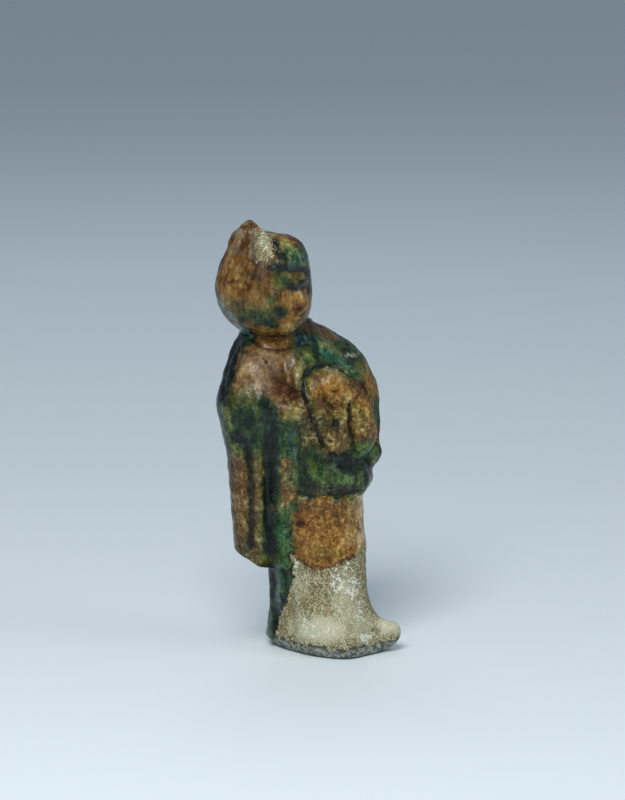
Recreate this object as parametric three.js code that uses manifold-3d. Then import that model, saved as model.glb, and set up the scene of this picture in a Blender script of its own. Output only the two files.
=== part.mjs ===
// A standing attendant, press-moulded in earthenware and glazed: one solid figure on its own foot.
// Millimetres, +Z up. The figure faces -Y, its left hand is towards +X, and it stands on Z = 0.
import * as THREE from "three";
import { mergeVertices } from "three/addons/utils/BufferGeometryUtils.js";
import Module from "manifold-3d";

const wasm = await Module();
wasm.setup();

// Driving sizes, in millimetres
const height = 120; // floor to the tip of the topknot
const footWidth = 24.5; // flat underside, side to side
const footLength = 33; // flat underside, front to back
const rimHeight = 2.6; // worn edge round the underside
const rimBevel = 1.5; // how far that edge is cut back

// The pose and the carving are in units of about a thousandth of the height, as a mould maker's canon.
const tipLevel = 986; // the tip of the topknot, in units
const unit = height / tipLevel;
const units = (millimetres) => millimetres / unit;

// Middle line of the figure: it sways back and to its own right as it rises.
const spine = [
  [0, -12, 0],
  [-12, 10, 130],
  [-14, 20, 250],
  [-22, 34, 370],
  [-30, 48, 480],
  [-33, 62, 600],
  [-41, 77, 690],
  [-56, 104, 750],
  [-101, 98, 841],
];

// Half widths of the skirt and of the shawl of shoulders and upper arms over it, at some heights
const skirt = {
  side: [
    [units(rimHeight), units(footWidth / 2 + rimBevel)],
    [110, 99],
    [260, 106],
    [330, 113],
    [400, 121],
    [480, 132],
    [560, 142],
    [740, 60],
  ],
  front: [
    [units(rimHeight), units(footLength / 2 + rimBevel)],
    [110, 124],
    [260, 120],
    [400, 117],
    [480, 124],
    [600, 112],
    [740, 60],
  ],
};
const shawl = {
  side: [
    [440, 110],
    [500, 176],
    [545, 203],
    [590, 208],
    [635, 192],
    [666, 179],
    [700, 152],
    [725, 120],
    [750, 78],
  ],
  front: [
    [440, 100],
    [550, 118],
    [600, 115],
    [635, 108],
    [700, 84],
    [725, 68],
    [750, 50],
  ],
};

// Where the robe ends inside the shawl, and the shawl's own lower and upper end
const waist = { robeTop: 740, shawlFoot: 442, shawlTop: 748 };
// Hanging folds on the sides and back, by angle from the front in radians, fading out upwards
const robeFolds = { count: 11, depth: 3.4, from: 1.0, to: 1.5, fade: [330, 560] };

const head = { centre: [-103, 100, 840], radii: [108, 109, 116], turn: 9, tip: 7 };
const knot = [
  { at: [-137, 110, tipLevel - 17], radius: 17 },
  { at: [-130, 117, 925], radius: 46 },
  { at: [-142, 28, 906], radius: 26 },
];
const hairRoll = { forward: 44, up: 54, radii: [82, 58, 52] }; // over the brow
const jaw = { forward: 40, up: -50, radii: [76, 62, 62] };
const face = { up: -28, radius: 70, sunk: 5 }; // lies a little below the hair that frames it
const nose = { up: -38, width: 12, length: 19, height: 12 };
const eyes = { up: -14, apart: 31, width: 17, height: 10, depth: 6 };
const lips = { up: -71, width: 20, height: 9, fullness: 5 };
const neck = { foot: [-46, 104, 690], top: [-88, 104, 790], footRadius: 74, topRadius: 64 };
const rightSleeve = {
  top: [-188, 67, 580],
  foot: [-177, 54, 252],
  topRadius: 48,
  footRadius: 39,
  hemDrop: 62, // how much lower the hem is at its front than at its back
  foldDepth: 8,
  foldWidth: 16,
};
const sleeveLining = { top: [-138, 48, 540], foot: [-126, 38, 238], radius: 40 };
const wristFold = { top: [-139, -14, 548], foot: [-127, -3, 222], topRadius: 24, footRadius: 18 };
const leftArm = {
  shoulder: [92, 60, 620],
  elbow: [106, 22, 500],
  cuff: [50, -62, 520],
  drop: [96, -26, 448], // where the end of the sleeve hangs lowest
  radius: 47,
  cuffRadius: 33,
  dropRadius: 36,
};
const cuffRoll = [
  { at: [-62, -48, 412], radius: 36 },
  { at: [30, -60, 396], radius: 36 },
  { at: [97, 0, 390], radius: 34 },
];
const rightHand = { wrist: [-172, 20, 588], knuckles: [-124, -40, 566], wristRadius: 44, radius: 32 };
// The bundle is an egg that leans a little; across and through are as in the hanging sleeve
const bundle = { centre: [3, -38, 562], radii: [84, 60, 106], lean: 0.16 };
const carryAngle = THREE.MathUtils.degToRad(40);
const toe = { heel: [40, -96, 44], tip: [74, -136, 42], radius: 32, tipRadius: 28 };
const spareClay = 15; // below the floor, for the wire to cut off
// Widths of the fillets where one form is smoothed into the next
const fillets = {
  limb: 6,
  neck: 26,
  shawl: 40,
  sleeve: 30,
  lining: 16,
  fold: 10,
  hand: 22,
  cuff: 8,
  bundle: 5,
  load: 9,
  hairRoll: 20,
  jaw: 30,
  knot: 16,
  head: 9,
  shoes: 16,
  toes: 26,
};
const nearShoe = { heel: [-36, -80, 60], tip: [-44, -118, 34], radius: 38 };

// Vector help on plain [x, y, z] arrays
const minus = (a, b) => [a[0] - b[0], a[1] - b[1], a[2] - b[2]];
const dot = (a, b) => a[0] * b[0] + a[1] * b[1] + a[2] * b[2];
const span = (a) => Math.hypot(...a);
const { clamp, lerp, smoothstep, degToRad } = THREE.MathUtils;
const bell = (distance, width) => Math.exp(-((distance / width) ** 2));

// Every form below gives a distance in units: below zero inside the clay, above zero outside it.
function tube(p, from, to, fromRadius, toRadius) {
  const along = minus(to, from);
  const share = clamp(dot(minus(p, from), along) / dot(along, along), 0, 1);
  const nearest = from.map((v, i) => v + share * along[i]);
  return span(minus(p, nearest)) - lerp(fromRadius, toRadius, share);
}

// A tube through several stations, each with its own radius
function limb(p, stations) {
  let d = Infinity;
  for (let i = 0; i + 1 < stations.length; i++) {
    const [a, b] = [stations[i], stations[i + 1]];
    d = join(d, tube(p, a.at, b.at, a.radius, b.radius), fillets.limb);
  }
  return d;
}

function egg(offset, radii) {
  const shares = span(offset.map((v, i) => v / radii[i]));
  return (shares * (shares - 1)) / Math.max(span(offset.map((v, i) => v / radii[i] ** 2)), 1e-9);
}

// A fuller egg, with flatter faces and steeper sides
function pillow(offset, radii) {
  const share = offset.reduce((sum, v, i) => sum + Math.abs(v / radii[i]) ** 3, 0) ** (1 / 3);
  return (share - 1) * Math.min(...radii);
}

// Joins two forms with a fillet of about that width.
function join(a, b, fillet) {
  if (a === Infinity) return b;
  const overlap = Math.max(fillet - Math.abs(a - b), 0) / fillet;
  return Math.min(a, b) - (overlap * overlap * fillet) / 4;
}

// Distance from a stroke that runs through the given points.
function stroke(p, points) {
  return Math.min(...points.slice(1).map((to, i) => tube(p, points[i], to, 0, 0)));
}

// A size that changes smoothly with height, from pairs of height and value.
function profile(stations, z) {
  const next = stations.findIndex((s) => s[0] > z);
  if (next === 0) return stations[0][1];
  if (next < 0) return stations.at(-1)[1];
  const [z0, v0] = stations[next - 1];
  const [z1, v1] = stations[next];
  const slopeAt = (n) => {
    const [before, after] = [stations[Math.max(n - 1, 0)], stations[Math.min(n + 1, stations.length - 1)]];
    return (after[1] - before[1]) / (after[0] - before[0]);
  };
  const t = (z - z0) / (z1 - z0);
  const rise = (1 - t) * slopeAt(next - 1) - t * slopeAt(next);
  return v0 + (v1 - v0) * t * t * (3 - 2 * t) + t * (1 - t) * (z1 - z0) * rise;
}

const spineX = spine.map(([x, , z]) => [z, x]);
const spineY = spine.map(([, y, z]) => [z, y]);

// An upright column round the middle line: how far a point is outside its oval section
function column(p, form, squareness) {
  const [x, y, z] = p;
  const a = profile(form.side, z);
  const b = profile(form.front, z);
  const across = Math.abs(x - profile(spineX, z)) / a;
  const along = Math.abs(y - profile(spineY, z)) / b;
  const share = (across ** squareness + along ** squareness) ** (1 / squareness);
  return (share - 1) * Math.min(a, b);
}

function robe(p) {
  const [x, y, z] = p;
  const angle = Math.atan2(x - profile(spineX, z), profile(spineY, z) - y); // 0 at the front
  const onSides = smoothstep(Math.abs(angle), robeFolds.from, robeFolds.to);
  const folds = Math.cos(robeFolds.count * angle) * onSides * smoothstep(z, 10, 60);
  const worn = units(rimBevel) * (1 - clamp(z / units(rimHeight), 0, 1));
  const wall = column(p, skirt, lerp(2.7, 2.1, smoothstep(z, 30, 160)));
  const depth = robeFolds.depth * (1 - smoothstep(z, ...robeFolds.fade));
  return Math.max(wall + worn - depth * folds, z - waist.robeTop);
}

function shoulders(p) {
  const d = Math.max(column(p, shawl, 2.2), waist.shawlFoot - p[2], p[2] - waist.shawlTop);
  return join(d, tube(p, neck.foot, neck.top, neck.footRadius, neck.topRadius), fillets.neck);
}

// A level offset turned by the angle at which the load is carried, between the front and the side
function quarter([x, y]) {
  const [cos, sin] = [Math.cos(carryAngle), Math.sin(carryAngle)];
  return [x * cos - y * sin, x * sin + y * cos];
}

// The long sleeve that hangs from the right forearm, with two folds and a slanting hem
function hangingSleeve(p) {
  const { top, foot, topRadius, footRadius, hemDrop, foldDepth, foldWidth } = rightSleeve;
  const share = clamp((top[2] - p[2]) / (top[2] - foot[2]), 0, 1);
  const radius = lerp(topRadius, footRadius, share);
  const offset = [p[0] - lerp(top[0], foot[0], share), p[1] - lerp(top[1], foot[1], share)];
  const [across, through] = quarter(offset);
  const wall = Math.hypot(across, through * 0.86, Math.max(p[2] - top[2], 0)) - radius;
  const outside = smoothstep(-through, -10, 20) * smoothstep(share, 0.08, 0.4);
  const fold = foldDepth * bell(across - 4, foldWidth) * outside;
  const lining = tube(p, sleeveLining.top, sleeveLining.foot, sleeveLining.radius, sleeveLining.radius);
  const crease = tube(p, wristFold.top, wristFold.foot, wristFold.topRadius, wristFold.footRadius);
  const inner = join(lining, crease, fillets.lining);
  const hem = foot[2] - hemDrop * (0.5 + across / (2 * topRadius));
  return Math.max(join(wall + fold, inner, fillets.fold), hem - p[2]);
}

function heldLoad(p) {
  let d = tube(p, leftArm.elbow, leftArm.cuff, leftArm.radius, leftArm.cuffRadius);
  d = join(d, tube(p, leftArm.elbow, leftArm.drop, leftArm.radius, leftArm.dropRadius), fillets.cuff);
  d = join(d, limb(p, cuffRoll), fillets.cuff);
  const sack = minus(p, bundle.centre);
  const [across, through] = quarter(sack);
  return join(d, pillow([across + bundle.lean * sack[2], through, sack[2]], bundle.radii), fillets.bundle);
}

// The head's own axes: side to its left, up, and forward out of the face
function headAxes() {
  const turn = degToRad(head.turn);
  const tip = degToRad(head.tip);
  return {
    forward: [Math.sin(turn) * Math.cos(tip), -Math.cos(turn) * Math.cos(tip), Math.sin(tip)],
    side: [Math.cos(turn), Math.sin(turn), 0],
    up: [-Math.sin(turn) * Math.sin(tip), Math.cos(turn) * Math.sin(tip), Math.cos(tip)],
  };
}
const axes = headAxes();

function headForm(p) {
  const offset = minus(p, head.centre);
  const [side, up, forward] = [dot(offset, axes.side), dot(offset, axes.up), dot(offset, axes.forward)];
  let d = egg([side, forward, up], head.radii);
  d = join(d, egg([side, forward - hairRoll.forward, up - hairRoll.up], hairRoll.radii), fillets.hairRoll);
  d = join(d, egg([side, forward - jaw.forward, up - jaw.up], jaw.radii), fillets.jaw);
  d = join(d, limb(p, knot), fillets.knot);
  const inFront = smoothstep(forward, 30, 70);
  const oval = Math.hypot(side, up - face.up) / face.radius;
  const sunk = face.sunk * (1 - smoothstep(oval, 0.75, 1.15));
  const ridge = nose.height * bell(side, nose.width) * bell(up - nose.up, nose.length);
  const pair = bell(side - eyes.apart, eyes.width) + bell(side + eyes.apart, eyes.width);
  const sockets = eyes.depth * pair * bell(up - eyes.up, eyes.height);
  const mouth = lips.fullness * bell(side, lips.width) * bell(up - lips.up, lips.height);
  return d + (sunk + sockets - ridge - mouth) * inFront;
}

function shoes(p) {
  const near = tube(p, nearShoe.heel, nearShoe.tip, nearShoe.radius, nearShoe.radius);
  return join(near, tube(p, toe.heel, toe.tip, toe.radius, toe.tipRadius), fillets.shoes);
}

function clay(p) {
  const hand = tube(p, rightHand.wrist, rightHand.knuckles, rightHand.wristRadius, rightHand.radius);
  const upperArm = tube(p, leftArm.shoulder, leftArm.elbow, leftArm.radius, leftArm.radius);
  let d = join(robe(p), shoulders(p), fillets.shawl);
  d = join(d, hangingSleeve(p), fillets.sleeve);
  d = join(d, hand, fillets.hand);
  d = join(d, upperArm, fillets.shawl);
  d = join(d, heldLoad(p), fillets.load);
  d = join(d, headForm(p), fillets.head);
  d = join(d, shoes(p), fillets.toes);
  return Math.max(d + carving(p), -spareClay - p[2]);
}

// Grooves as a modelling tool leaves them: where the tool runs, how deep and how wide
const grooves = [
  {
    // beside the hanging sleeve
    path: [[-141, 15, 226], [-154, 18, 400], [-165, 14, 470], [-180, 1, 520], [-186, -3, 560]],
    depth: 7,
    width: 18,
  },
  {
    // collar
    path: [[-150, 40, 722], [-110, 6, 708], [-60, -6, 704], [-4, 10, 712], [40, 50, 724]],
    depth: 4,
    width: 12,
  },
  {
    // sleeve over the bundle
    path: [[-64, -44, 640], [-30, -50, 676], [24, -42, 672], [92, -24, 600]],
    depth: 7,
    width: 15,
  },
  {
    // bundle's edge
    path: [[-84, -20, 618], [-68, -34, 531], [-38, -58, 456], [30, -50, 446]],
    depth: 7,
    width: 13,
  },
  {
    // fold in the bundle
    path: [[0, -97, 590], [-8, -91, 545], [-10, -90, 500], [-5, -94, 462]],
    depth: 8,
    width: 13,
  },
];

function carving(p) {
  return grooves.reduce((sum, { path, depth, width }) => sum + depth * bell(stroke(p, path), width), 0);
}

// How finely the surface is divided, at some heights: the width of a cell in units, and how many
// times as tall as wide it is, more in the straight folds of the skirt
const cellWidths = [
  [0, 14],
  [60, 15.5],
  [300, 15],
  [420, 16],
  [560, 17.5],
  [700, 17],
  [760, 13.5],
];
const cellHeights = [
  [0, 1],
  [60, 1.1],
  [130, 2.1],
  [360, 2],
  [430, 1.2],
  [540, 1],
];
const gridFoot = -35;
const gridTop = 1040;
const reach = 18; // cells from the middle line outwards
const evenPasses = 3; // how often the corners are evened out

// The twelve edges of a cell, as pairs of its corners
const cellEdges = [0, 1, 2].flatMap((axis) =>
  [0, 1, 2, 3].map((n) => {
    const from = [0, 0, 0];
    from[(axis + 1) % 3] = n & 1;
    from[(axis + 2) % 3] = n >> 1;
    return [from, from.map((v, k) => (k === axis ? 1 : v))];
  }),
);

// The clay sampled on a grid that leans with the middle line
function sampleClay() {
  const levels = [];
  for (let z = gridFoot; z < gridTop; z += profile(cellWidths, z) * profile(cellHeights, z)) levels.push(z);
  const side = 2 * reach + 1;
  const grid = {
    sizes: [side, side, levels.length],
    node: (i, j, k) => (k * side + j) * side + i,
    place: (i, j, k) => {
      const z = levels[k];
      const cell = profile(cellWidths, z);
      return [profile(spineX, z) + (i - reach) * cell, profile(spineY, z) + (j - reach) * cell, z];
    },
    depth: new Float64Array(side * side * levels.length),
  };
  const [ni, nj, nk] = grid.sizes;
  for (let k = 0; k < nk; k++) {
    for (let j = 0; j < nj; j++) {
      for (let i = 0; i < ni; i++) grid.depth[grid.node(i, j, k)] = clay(grid.place(i, j, k));
    }
  }
  return grid;
}

// Fills single nodes until no two parts of the surface touch in one cell at an edge or corner only.
function closeTouches({ sizes: [ni, nj, nk], node, depth }) {
  const inside = (n) => depth[n] <= 0;
  let filled = 1;
  const fill = (nodes) => {
    depth[nodes.find((n) => !inside(n))] = -0.5;
    filled++;
  };
  while (filled > 0) {
    filled = 0;
    for (let k = 1; k < nk; k++) {
      for (let j = 1; j < nj; j++) {
        for (let i = 1; i < ni; i++) {
          const faces = [
            [node(i, j, k), node(i, j - 1, k), node(i, j - 1, k - 1), node(i, j, k - 1)],
            [node(i, j, k), node(i - 1, j, k), node(i - 1, j, k - 1), node(i, j, k - 1)],
            [node(i, j, k), node(i - 1, j, k), node(i - 1, j - 1, k), node(i, j - 1, k)],
          ];
          for (const face of faces) {
            const [a, b, c, d] = face.map(inside);
            if (a === c && b === d && a !== b) fill(face);
          }
          const cell = [0, 1, 2, 3, 4, 5, 6, 7].map((n) =>
            node(i - (n & 1), j - ((n >> 1) & 1), k - (n >> 2)),
          );
          const solid = cell.filter(inside).length;
          const lone = [0, 1, 2, 3].some((n) => {
            const pair = [inside(cell[n]), inside(cell[7 - n])];
            return pair[0] === pair[1] && solid === (pair[0] ? 2 : 6);
          });
          if (lone) fill(cell);
        }
      }
    }
  }
}

// The skin of the clay: one corner in each cell that the surface crosses, and one four-sided face
// round each edge of the grid that it crosses.
function skin() {
  const grid = sampleClay();
  closeTouches(grid);
  const { node, place, depth, sizes } = grid;
  const corners = [];
  const cornerOf = new Map();
  const corner = (i, j, k) => {
    const key = node(i, j, k);
    if (cornerOf.has(key)) return cornerOf.get(key);
    const middle = new THREE.Vector3();
    let crossings = 0;
    for (const [a, b] of cellEdges) {
      const from = [i + a[0], j + a[1], k + a[2]];
      const to = [i + b[0], j + b[1], k + b[2]];
      const [d0, d1] = [depth[node(...from)], depth[node(...to)]];
      if (d0 > 0 === d1 > 0) continue;
      const [start, end] = [place(...from), place(...to)];
      middle.add(new THREE.Vector3(...start).lerp(new THREE.Vector3(...end), d0 / (d0 - d1)));
      crossings++;
    }
    corners.push(middle.divideScalar(crossings).toArray());
    cornerOf.set(key, corners.length - 1);
    return corners.length - 1;
  };
  const faces = [];
  for (let k = 1; k + 1 < sizes[2]; k++) {
    for (let j = 1; j + 1 < sizes[1]; j++) {
      for (let i = 1; i + 1 < sizes[0]; i++) {
        const inside = depth[node(i, j, k)] <= 0;
        const around = [
          [[i + 1, j, k], [[i, j - 1, k - 1], [i, j, k - 1], [i, j, k], [i, j - 1, k]]],
          [[i, j + 1, k], [[i - 1, j, k - 1], [i - 1, j, k], [i, j, k], [i, j, k - 1]]],
          [[i, j, k + 1], [[i - 1, j - 1, k], [i, j - 1, k], [i, j, k], [i - 1, j, k]]],
        ];
        for (const [next, cells] of around) {
          if (inside === depth[node(...next)] <= 0) continue;
          const face = cells.map((c) => corner(...c));
          faces.push(inside ? face : face.reverse());
        }
      }
    }
  }
  return evenOut(corners, faces);
}

// Moves a point straight onto the surface of the clay, by no more than the given way.
function press(p, most) {
  const step = 0.5;
  const d = clay(p);
  const slope = p.map((_, k) => (clay(p.map((v, m) => (m === k ? v + step : v))) - d) / step);
  const steep = Math.max(dot(slope, slope), 0.25);
  return p.map((v, k) => v - clamp((d * slope[k]) / steep, -most, most));
}

// Evens out the corners along the surface, and gives the geometry.
function evenOut(corners, faces) {
  const beside = corners.map(() => new Set());
  for (const face of faces) {
    face.forEach((a, n) => beside[a].add(face[(n + 1) % 4]).add(face[(n + 3) % 4]));
  }
  let at = corners.map((p) => press(press(p, 8), 8));
  for (let pass = 0; pass < evenPasses; pass++) {
    at = at.map((p, n) => {
      const near = [...beside[n]];
      const middle = p.map((_, k) => near.reduce((sum, m) => sum + at[m][k], 0) / near.length);
      return press(p.map((v, k) => v + 0.5 * (middle[k] - v)), 6);
    });
  }
  const index = faces.flatMap(([a, b, c, d]) =>
    span(minus(at[a], at[c])) < span(minus(at[b], at[d])) ? [a, b, c, a, c, d] : [b, c, d, b, d, a],
  );
  const geometry = new THREE.BufferGeometry();
  geometry.setAttribute("position", new THREE.Float32BufferAttribute(at.flat().map((v) => v * unit), 3));
  geometry.setIndex(index);
  return geometry;
}

function solidOf(geometry) {
  return new wasm.Manifold(
    new wasm.Mesh({
      numProp: 3,
      vertProperties: new Float32Array(geometry.getAttribute("position").array),
      triVerts: new Uint32Array(geometry.index.array),
    }),
  );
}

// Cuts the clay off flat at the floor, as a wire does.
function wireCut(geometry) {
  const below = new THREE.BoxGeometry(height, height, height).translate(0, 0, -height / 2);
  below.deleteAttribute("normal");
  below.deleteAttribute("uv");
  const cut = solidOf(geometry).subtract(solidOf(mergeVertices(below))).getMesh();
  const trimmed = new THREE.BufferGeometry();
  trimmed.setAttribute("position", new THREE.BufferAttribute(cut.vertProperties, 3));
  trimmed.setIndex(new THREE.BufferAttribute(cut.triVerts, 1));
  trimmed.computeVertexNormals();
  return trimmed;
}

const glaze = new THREE.MeshStandardMaterial({ color: 0x8a5a1e, roughness: 0.25, metalness: 0 });
const figure = new THREE.Mesh(wireCut(skin()), glaze);
figure.name = "figure";
figure.geometry.computeBoundingBox();
const bounds = figure.geometry.boundingBox;
figure.position.set(-(bounds.min.x + bounds.max.x) / 2, -(bounds.min.y + bounds.max.y) / 2, 0);

const attendant = new THREE.Group();
attendant.add(figure);

export default attendant;
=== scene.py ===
# Small press-moulded earthenware attendant with a running amber and green glaze.
# The clay is sculpted in units of about a thousandth of its height.
# The figure faces -Y, and its left hand is towards +X.
import math

import bmesh
import bpy
import numpy as np
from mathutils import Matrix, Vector, noise


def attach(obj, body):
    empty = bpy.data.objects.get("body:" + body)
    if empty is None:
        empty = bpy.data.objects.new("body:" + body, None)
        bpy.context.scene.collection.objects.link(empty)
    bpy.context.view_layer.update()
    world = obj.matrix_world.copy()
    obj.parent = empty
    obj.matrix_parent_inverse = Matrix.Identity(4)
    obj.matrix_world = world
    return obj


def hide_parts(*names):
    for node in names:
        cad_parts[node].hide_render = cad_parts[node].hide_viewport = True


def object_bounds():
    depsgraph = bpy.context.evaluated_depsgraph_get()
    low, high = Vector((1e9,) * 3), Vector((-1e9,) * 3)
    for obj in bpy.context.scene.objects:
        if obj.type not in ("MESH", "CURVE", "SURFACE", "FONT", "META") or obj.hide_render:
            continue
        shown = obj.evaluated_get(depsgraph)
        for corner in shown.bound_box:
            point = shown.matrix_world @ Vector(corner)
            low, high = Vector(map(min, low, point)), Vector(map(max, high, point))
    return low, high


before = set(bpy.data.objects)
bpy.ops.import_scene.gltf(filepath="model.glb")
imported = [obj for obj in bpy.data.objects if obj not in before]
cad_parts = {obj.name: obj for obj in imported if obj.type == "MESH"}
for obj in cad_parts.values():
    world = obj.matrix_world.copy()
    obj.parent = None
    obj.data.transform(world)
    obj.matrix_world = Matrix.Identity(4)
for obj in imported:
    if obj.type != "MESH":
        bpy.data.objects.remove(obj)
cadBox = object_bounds()

tipLevel = 986  # the tip of the topknot, in units
unit = (cadBox[1].z - cadBox[0].z) / tipLevel  # metres
standing = np.array((4.4253, -2.7648, 0)) / 1000  # where the sculptor's middle line meets the floor
photoSide = {"azimuth": -40, "elevation": 10}  # degrees, where the photograph was taken from


def viewAxes(azimuth, elevation):
    a, e = math.radians(azimuth), math.radians(elevation)
    right = Vector((math.cos(a), math.sin(a), 0))
    back = Vector((math.sin(a) * math.cos(e), -math.cos(a) * math.cos(e), math.sin(e)))
    return right, back.cross(right), back


# A long lens at the photograph's own angle
cameraSettings = {
    "distance": 1.318,  # metres
    "pixel": 0.2821,  # mm of the figure to one pixel of the picture
    "picture": (625, 800),
    "foot": (326, 645),  # where the middle line's foot is in the picture
}


def makeCamera(s):
    right, up, back = viewAxes(**photoSide)
    width, height = s["picture"]
    across = (width / 2 - s["foot"][0]) * s["pixel"] / 1000
    rise = (s["foot"][1] - height / 2) * s["pixel"] / 1000
    data = bpy.data.cameras.new("photo_camera")
    data.angle = 2 * math.atan(height / 2 * s["pixel"] / 1000 / s["distance"])
    data.clip_start = 0.01
    data.clip_end = 20
    cam = bpy.data.objects.new("photo_camera", data)
    cam.location = Vector(standing) + right * across + up * rise + back * s["distance"]
    cam.rotation_euler = back.to_track_quat("Z", "Y").to_euler()
    bpy.context.scene.collection.objects.link(cam)
    bpy.context.scene.camera = cam
    return cam


camera = makeCamera(cameraSettings)
print("camera placed")


# Where points in metres are in the picture, in its pixels
def pictureOf(co):
    right, up, back = viewAxes(**photoSide)
    s = cameraSettings
    away = co - np.array(camera.location)
    depth = -(away @ np.array(back))
    u = (away @ np.array(right)) / depth * s["distance"] * 1000 / s["pixel"] + s["picture"][0] / 2
    v = s["picture"][1] / 2 - (away @ np.array(up)) / depth * s["distance"] * 1000 / s["pixel"]
    return u, v


# Clay forms: each says how far points are outside it, in units. Points are the rows of an array.


def tube(p, start, end, startRadius, endRadius):
    a = np.array(start, float)
    along = np.array(end, float) - a
    share = np.clip((p - a) @ along / (along @ along), 0, 1)
    gap = np.linalg.norm(p - a - share[:, None] * along, axis=1)
    return gap - (startRadius + (endRadius - startRadius) * share)


# Two forms as one, with a soft hollow where they meet
def join(a, b, fillet):
    overlap = np.maximum(fillet - np.abs(a - b), 0) / fillet
    return np.minimum(a, b) - overlap * overlap * fillet / 4


def limb(p, stations, fillet=6):
    parts = [tube(p, a[0], b[0], a[1], b[1]) for a, b in zip(stations, stations[1:])]
    total = parts[0]
    for part in parts[1:]:
        total = join(total, part, fillet)
    return total


def egg(offset, radii):
    shares = np.linalg.norm(offset / np.array(radii), axis=1)
    return shares * (shares - 1) / np.maximum(np.linalg.norm(offset / np.array(radii) ** 2, axis=1), 1e-9)


def pillow(offset, radii):
    share = (np.abs(offset / np.array(radii)) ** 3).sum(1) ** (1 / 3)
    return (share - 1) * min(radii)


def bell(distance, width):
    return np.exp(-((distance / width) ** 2))


def smooth(x, low, high):
    t = np.clip((x - low) / (high - low), 0, 1)
    return t * t * (3 - 2 * t)


# A smooth curve through stations, each a height and a value
def profile(stations, z):
    at, value = np.array(stations, float).T
    slope = np.empty(len(at))
    slope[1:-1] = (value[2:] - value[:-2]) / (at[2:] - at[:-2])
    slope[0] = (value[1] - value[0]) / (at[1] - at[0])
    slope[-1] = (value[-1] - value[-2]) / (at[-1] - at[-2])
    n = np.clip(np.searchsorted(at, z, side="right") - 1, 0, len(at) - 2)
    h = at[n + 1] - at[n]
    t = np.clip((z - at[n]) / h, 0, 1)
    rise = (1 - t) * slope[n] - t * slope[n + 1]
    return value[n] + (value[n + 1] - value[n]) * t * t * (3 - 2 * t) + t * (1 - t) * h * rise


# How far points are from a line of points
def stroke(p, points):
    return np.min([tube(p, a, b, 0, 0) for a, b in zip(points, points[1:])], axis=0)


attendant = {
    # Height, then across and back
    "spine": [
        (0, 0, -12),
        (130, -12, 10),
        (250, -14, 20),
        (370, -22, 34),
        (480, -30, 48),
        (600, -33, 62),
        (690, -41, 77),
        (750, -56, 104),
        (841, -101, 98),
    ],
    "rimHeight": 0.0026 / unit,
    "rimBevel": 0.0015 / unit,
    "robeTop": 740,
    "squareness": {"foot": 2.7, "loss": 0.6, "over": (30, 160)},  # an oval has 2, a box far more
    # Angles in radians from the front
    "backFolds": {"count": 11, "depth": 3.4, "angles": (1.0, 1.5), "foot": (10, 60), "top": (330, 560)},
    # Height, then half width
    "skirtSide": [
        (21.4, 113),
        (110, 99),
        (260, 106),
        (330, 113),
        (400, 121),
        (480, 132),
        (560, 142),
        (740, 60),
    ],
    "skirtFront": [(21.4, 147.9), (110, 124), (260, 120), (400, 117), (480, 124), (600, 112), (740, 60)],
    "shawlSide": [
        (440, 110),
        (500, 176),
        (545, 203),
        (590, 208),
        (635, 192),
        (666, 179),
        (700, 152),
        (725, 120),
        (750, 78),
    ],
    "shawlFront": [(440, 100), (550, 118), (600, 115), (635, 108), (700, 84), (725, 68), (750, 50)],
    "shawl": {"low": 442, "top": 748, "squareness": 2.2},
    "head": {"centre": (-103, 100, 840), "radii": (108, 109, 116), "turn": 9, "tip": 7},
    "hairRoll": {"middle": (0, 44, 57), "radii": (83, 62, 61)},
    "jaw": {"middle": (0, 40, -50), "radii": (76, 62, 62)},
    "knot": [((-137, 110, tipLevel - 16), 20), ((-130, 117, 925), 46), ((-142, 28, 906), 26)],
    "knotBase": [((-148, 119, 944), 28), ((-108, 86, 928), 34)],
    "neck": {"foot": (-46, 104, 690), "top": (-88, 104, 790), "footRadius": 74, "topRadius": 64},
    "rightSleeve": {
        "top": (-188, 67, 580),
        "foot": (-177, 54, 252),
        "topRadius": 48,
        "footRadius": 39,
        "flatness": 0.86,
    },
    "hem": {
        "drop": 62,
        "fold": 8,
        "foldMiddle": 4,
        "foldWidth": 16,
        "foldSides": (-10, 20),
        "foldEnds": (0.08, 0.4),
    },
    "sleeveLining": {"top": (-138, 48, 540), "foot": (-126, 38, 238), "radius": 40},
    "wristFold": {"top": (-139, -14, 548), "foot": (-127, -3, 222), "topRadius": 24, "footRadius": 18},
    "leftArm": {
        "shoulder": (92, 60, 620),
        "elbow": (106, 22, 500),
        "cuff": (50, -62, 520),
        "drop": (96, -26, 448),
        "radius": 47,
        "cuffRadius": 33,
        "dropRadius": 36,
    },
    "cuffRoll": [((-62, -48, 412), 36), ((30, -60, 396), 36), ((97, 0, 390), 34)],
    "rightHand": {"wrist": (-172, 20, 588), "knuckles": (-124, -40, 566), "wristRadius": 44, "radius": 32},
    "bundle": {"centre": (3, -38, 562), "radii": (84, 60, 106), "lean": 0.16},
    "carryAngle": 40,  # degrees between the front and the load
    "toe": {"heel": (40, -96, 44), "tip": (74, -136, 42), "radius": 32, "tipRadius": 28},
    "nearShoe": {"heel": (-36, -80, 60), "tip": (-44, -118, 34), "radius": 38},
    # How softly each form runs into the ones before it
    "fillets": {
        "neck": 26,
        "shoulders": 40,
        "wristFold": 16,
        "lining": 10,
        "rightSleeve": 32,
        "rightHand": 22,
        "leftArm": 40,
        "drop": 8,
        "cuffRoll": 18,
        "bundle": 11,
        "load": 20,
        "hairRoll": 20,
        "jaw": 30,
        "knotBase": 20,
        "knot": 16,
        "head": 9,
        "toe": 16,
        "shoes": 26,
        "underside": 3,
    },
}


# Where the middle of the robe is at a height
def spineAt(z):
    spine = attendant["spine"]
    across = profile([(height, x) for height, x, _ in spine], z)
    back = profile([(height, y) for height, _, y in spine], z)
    return across, back


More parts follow.
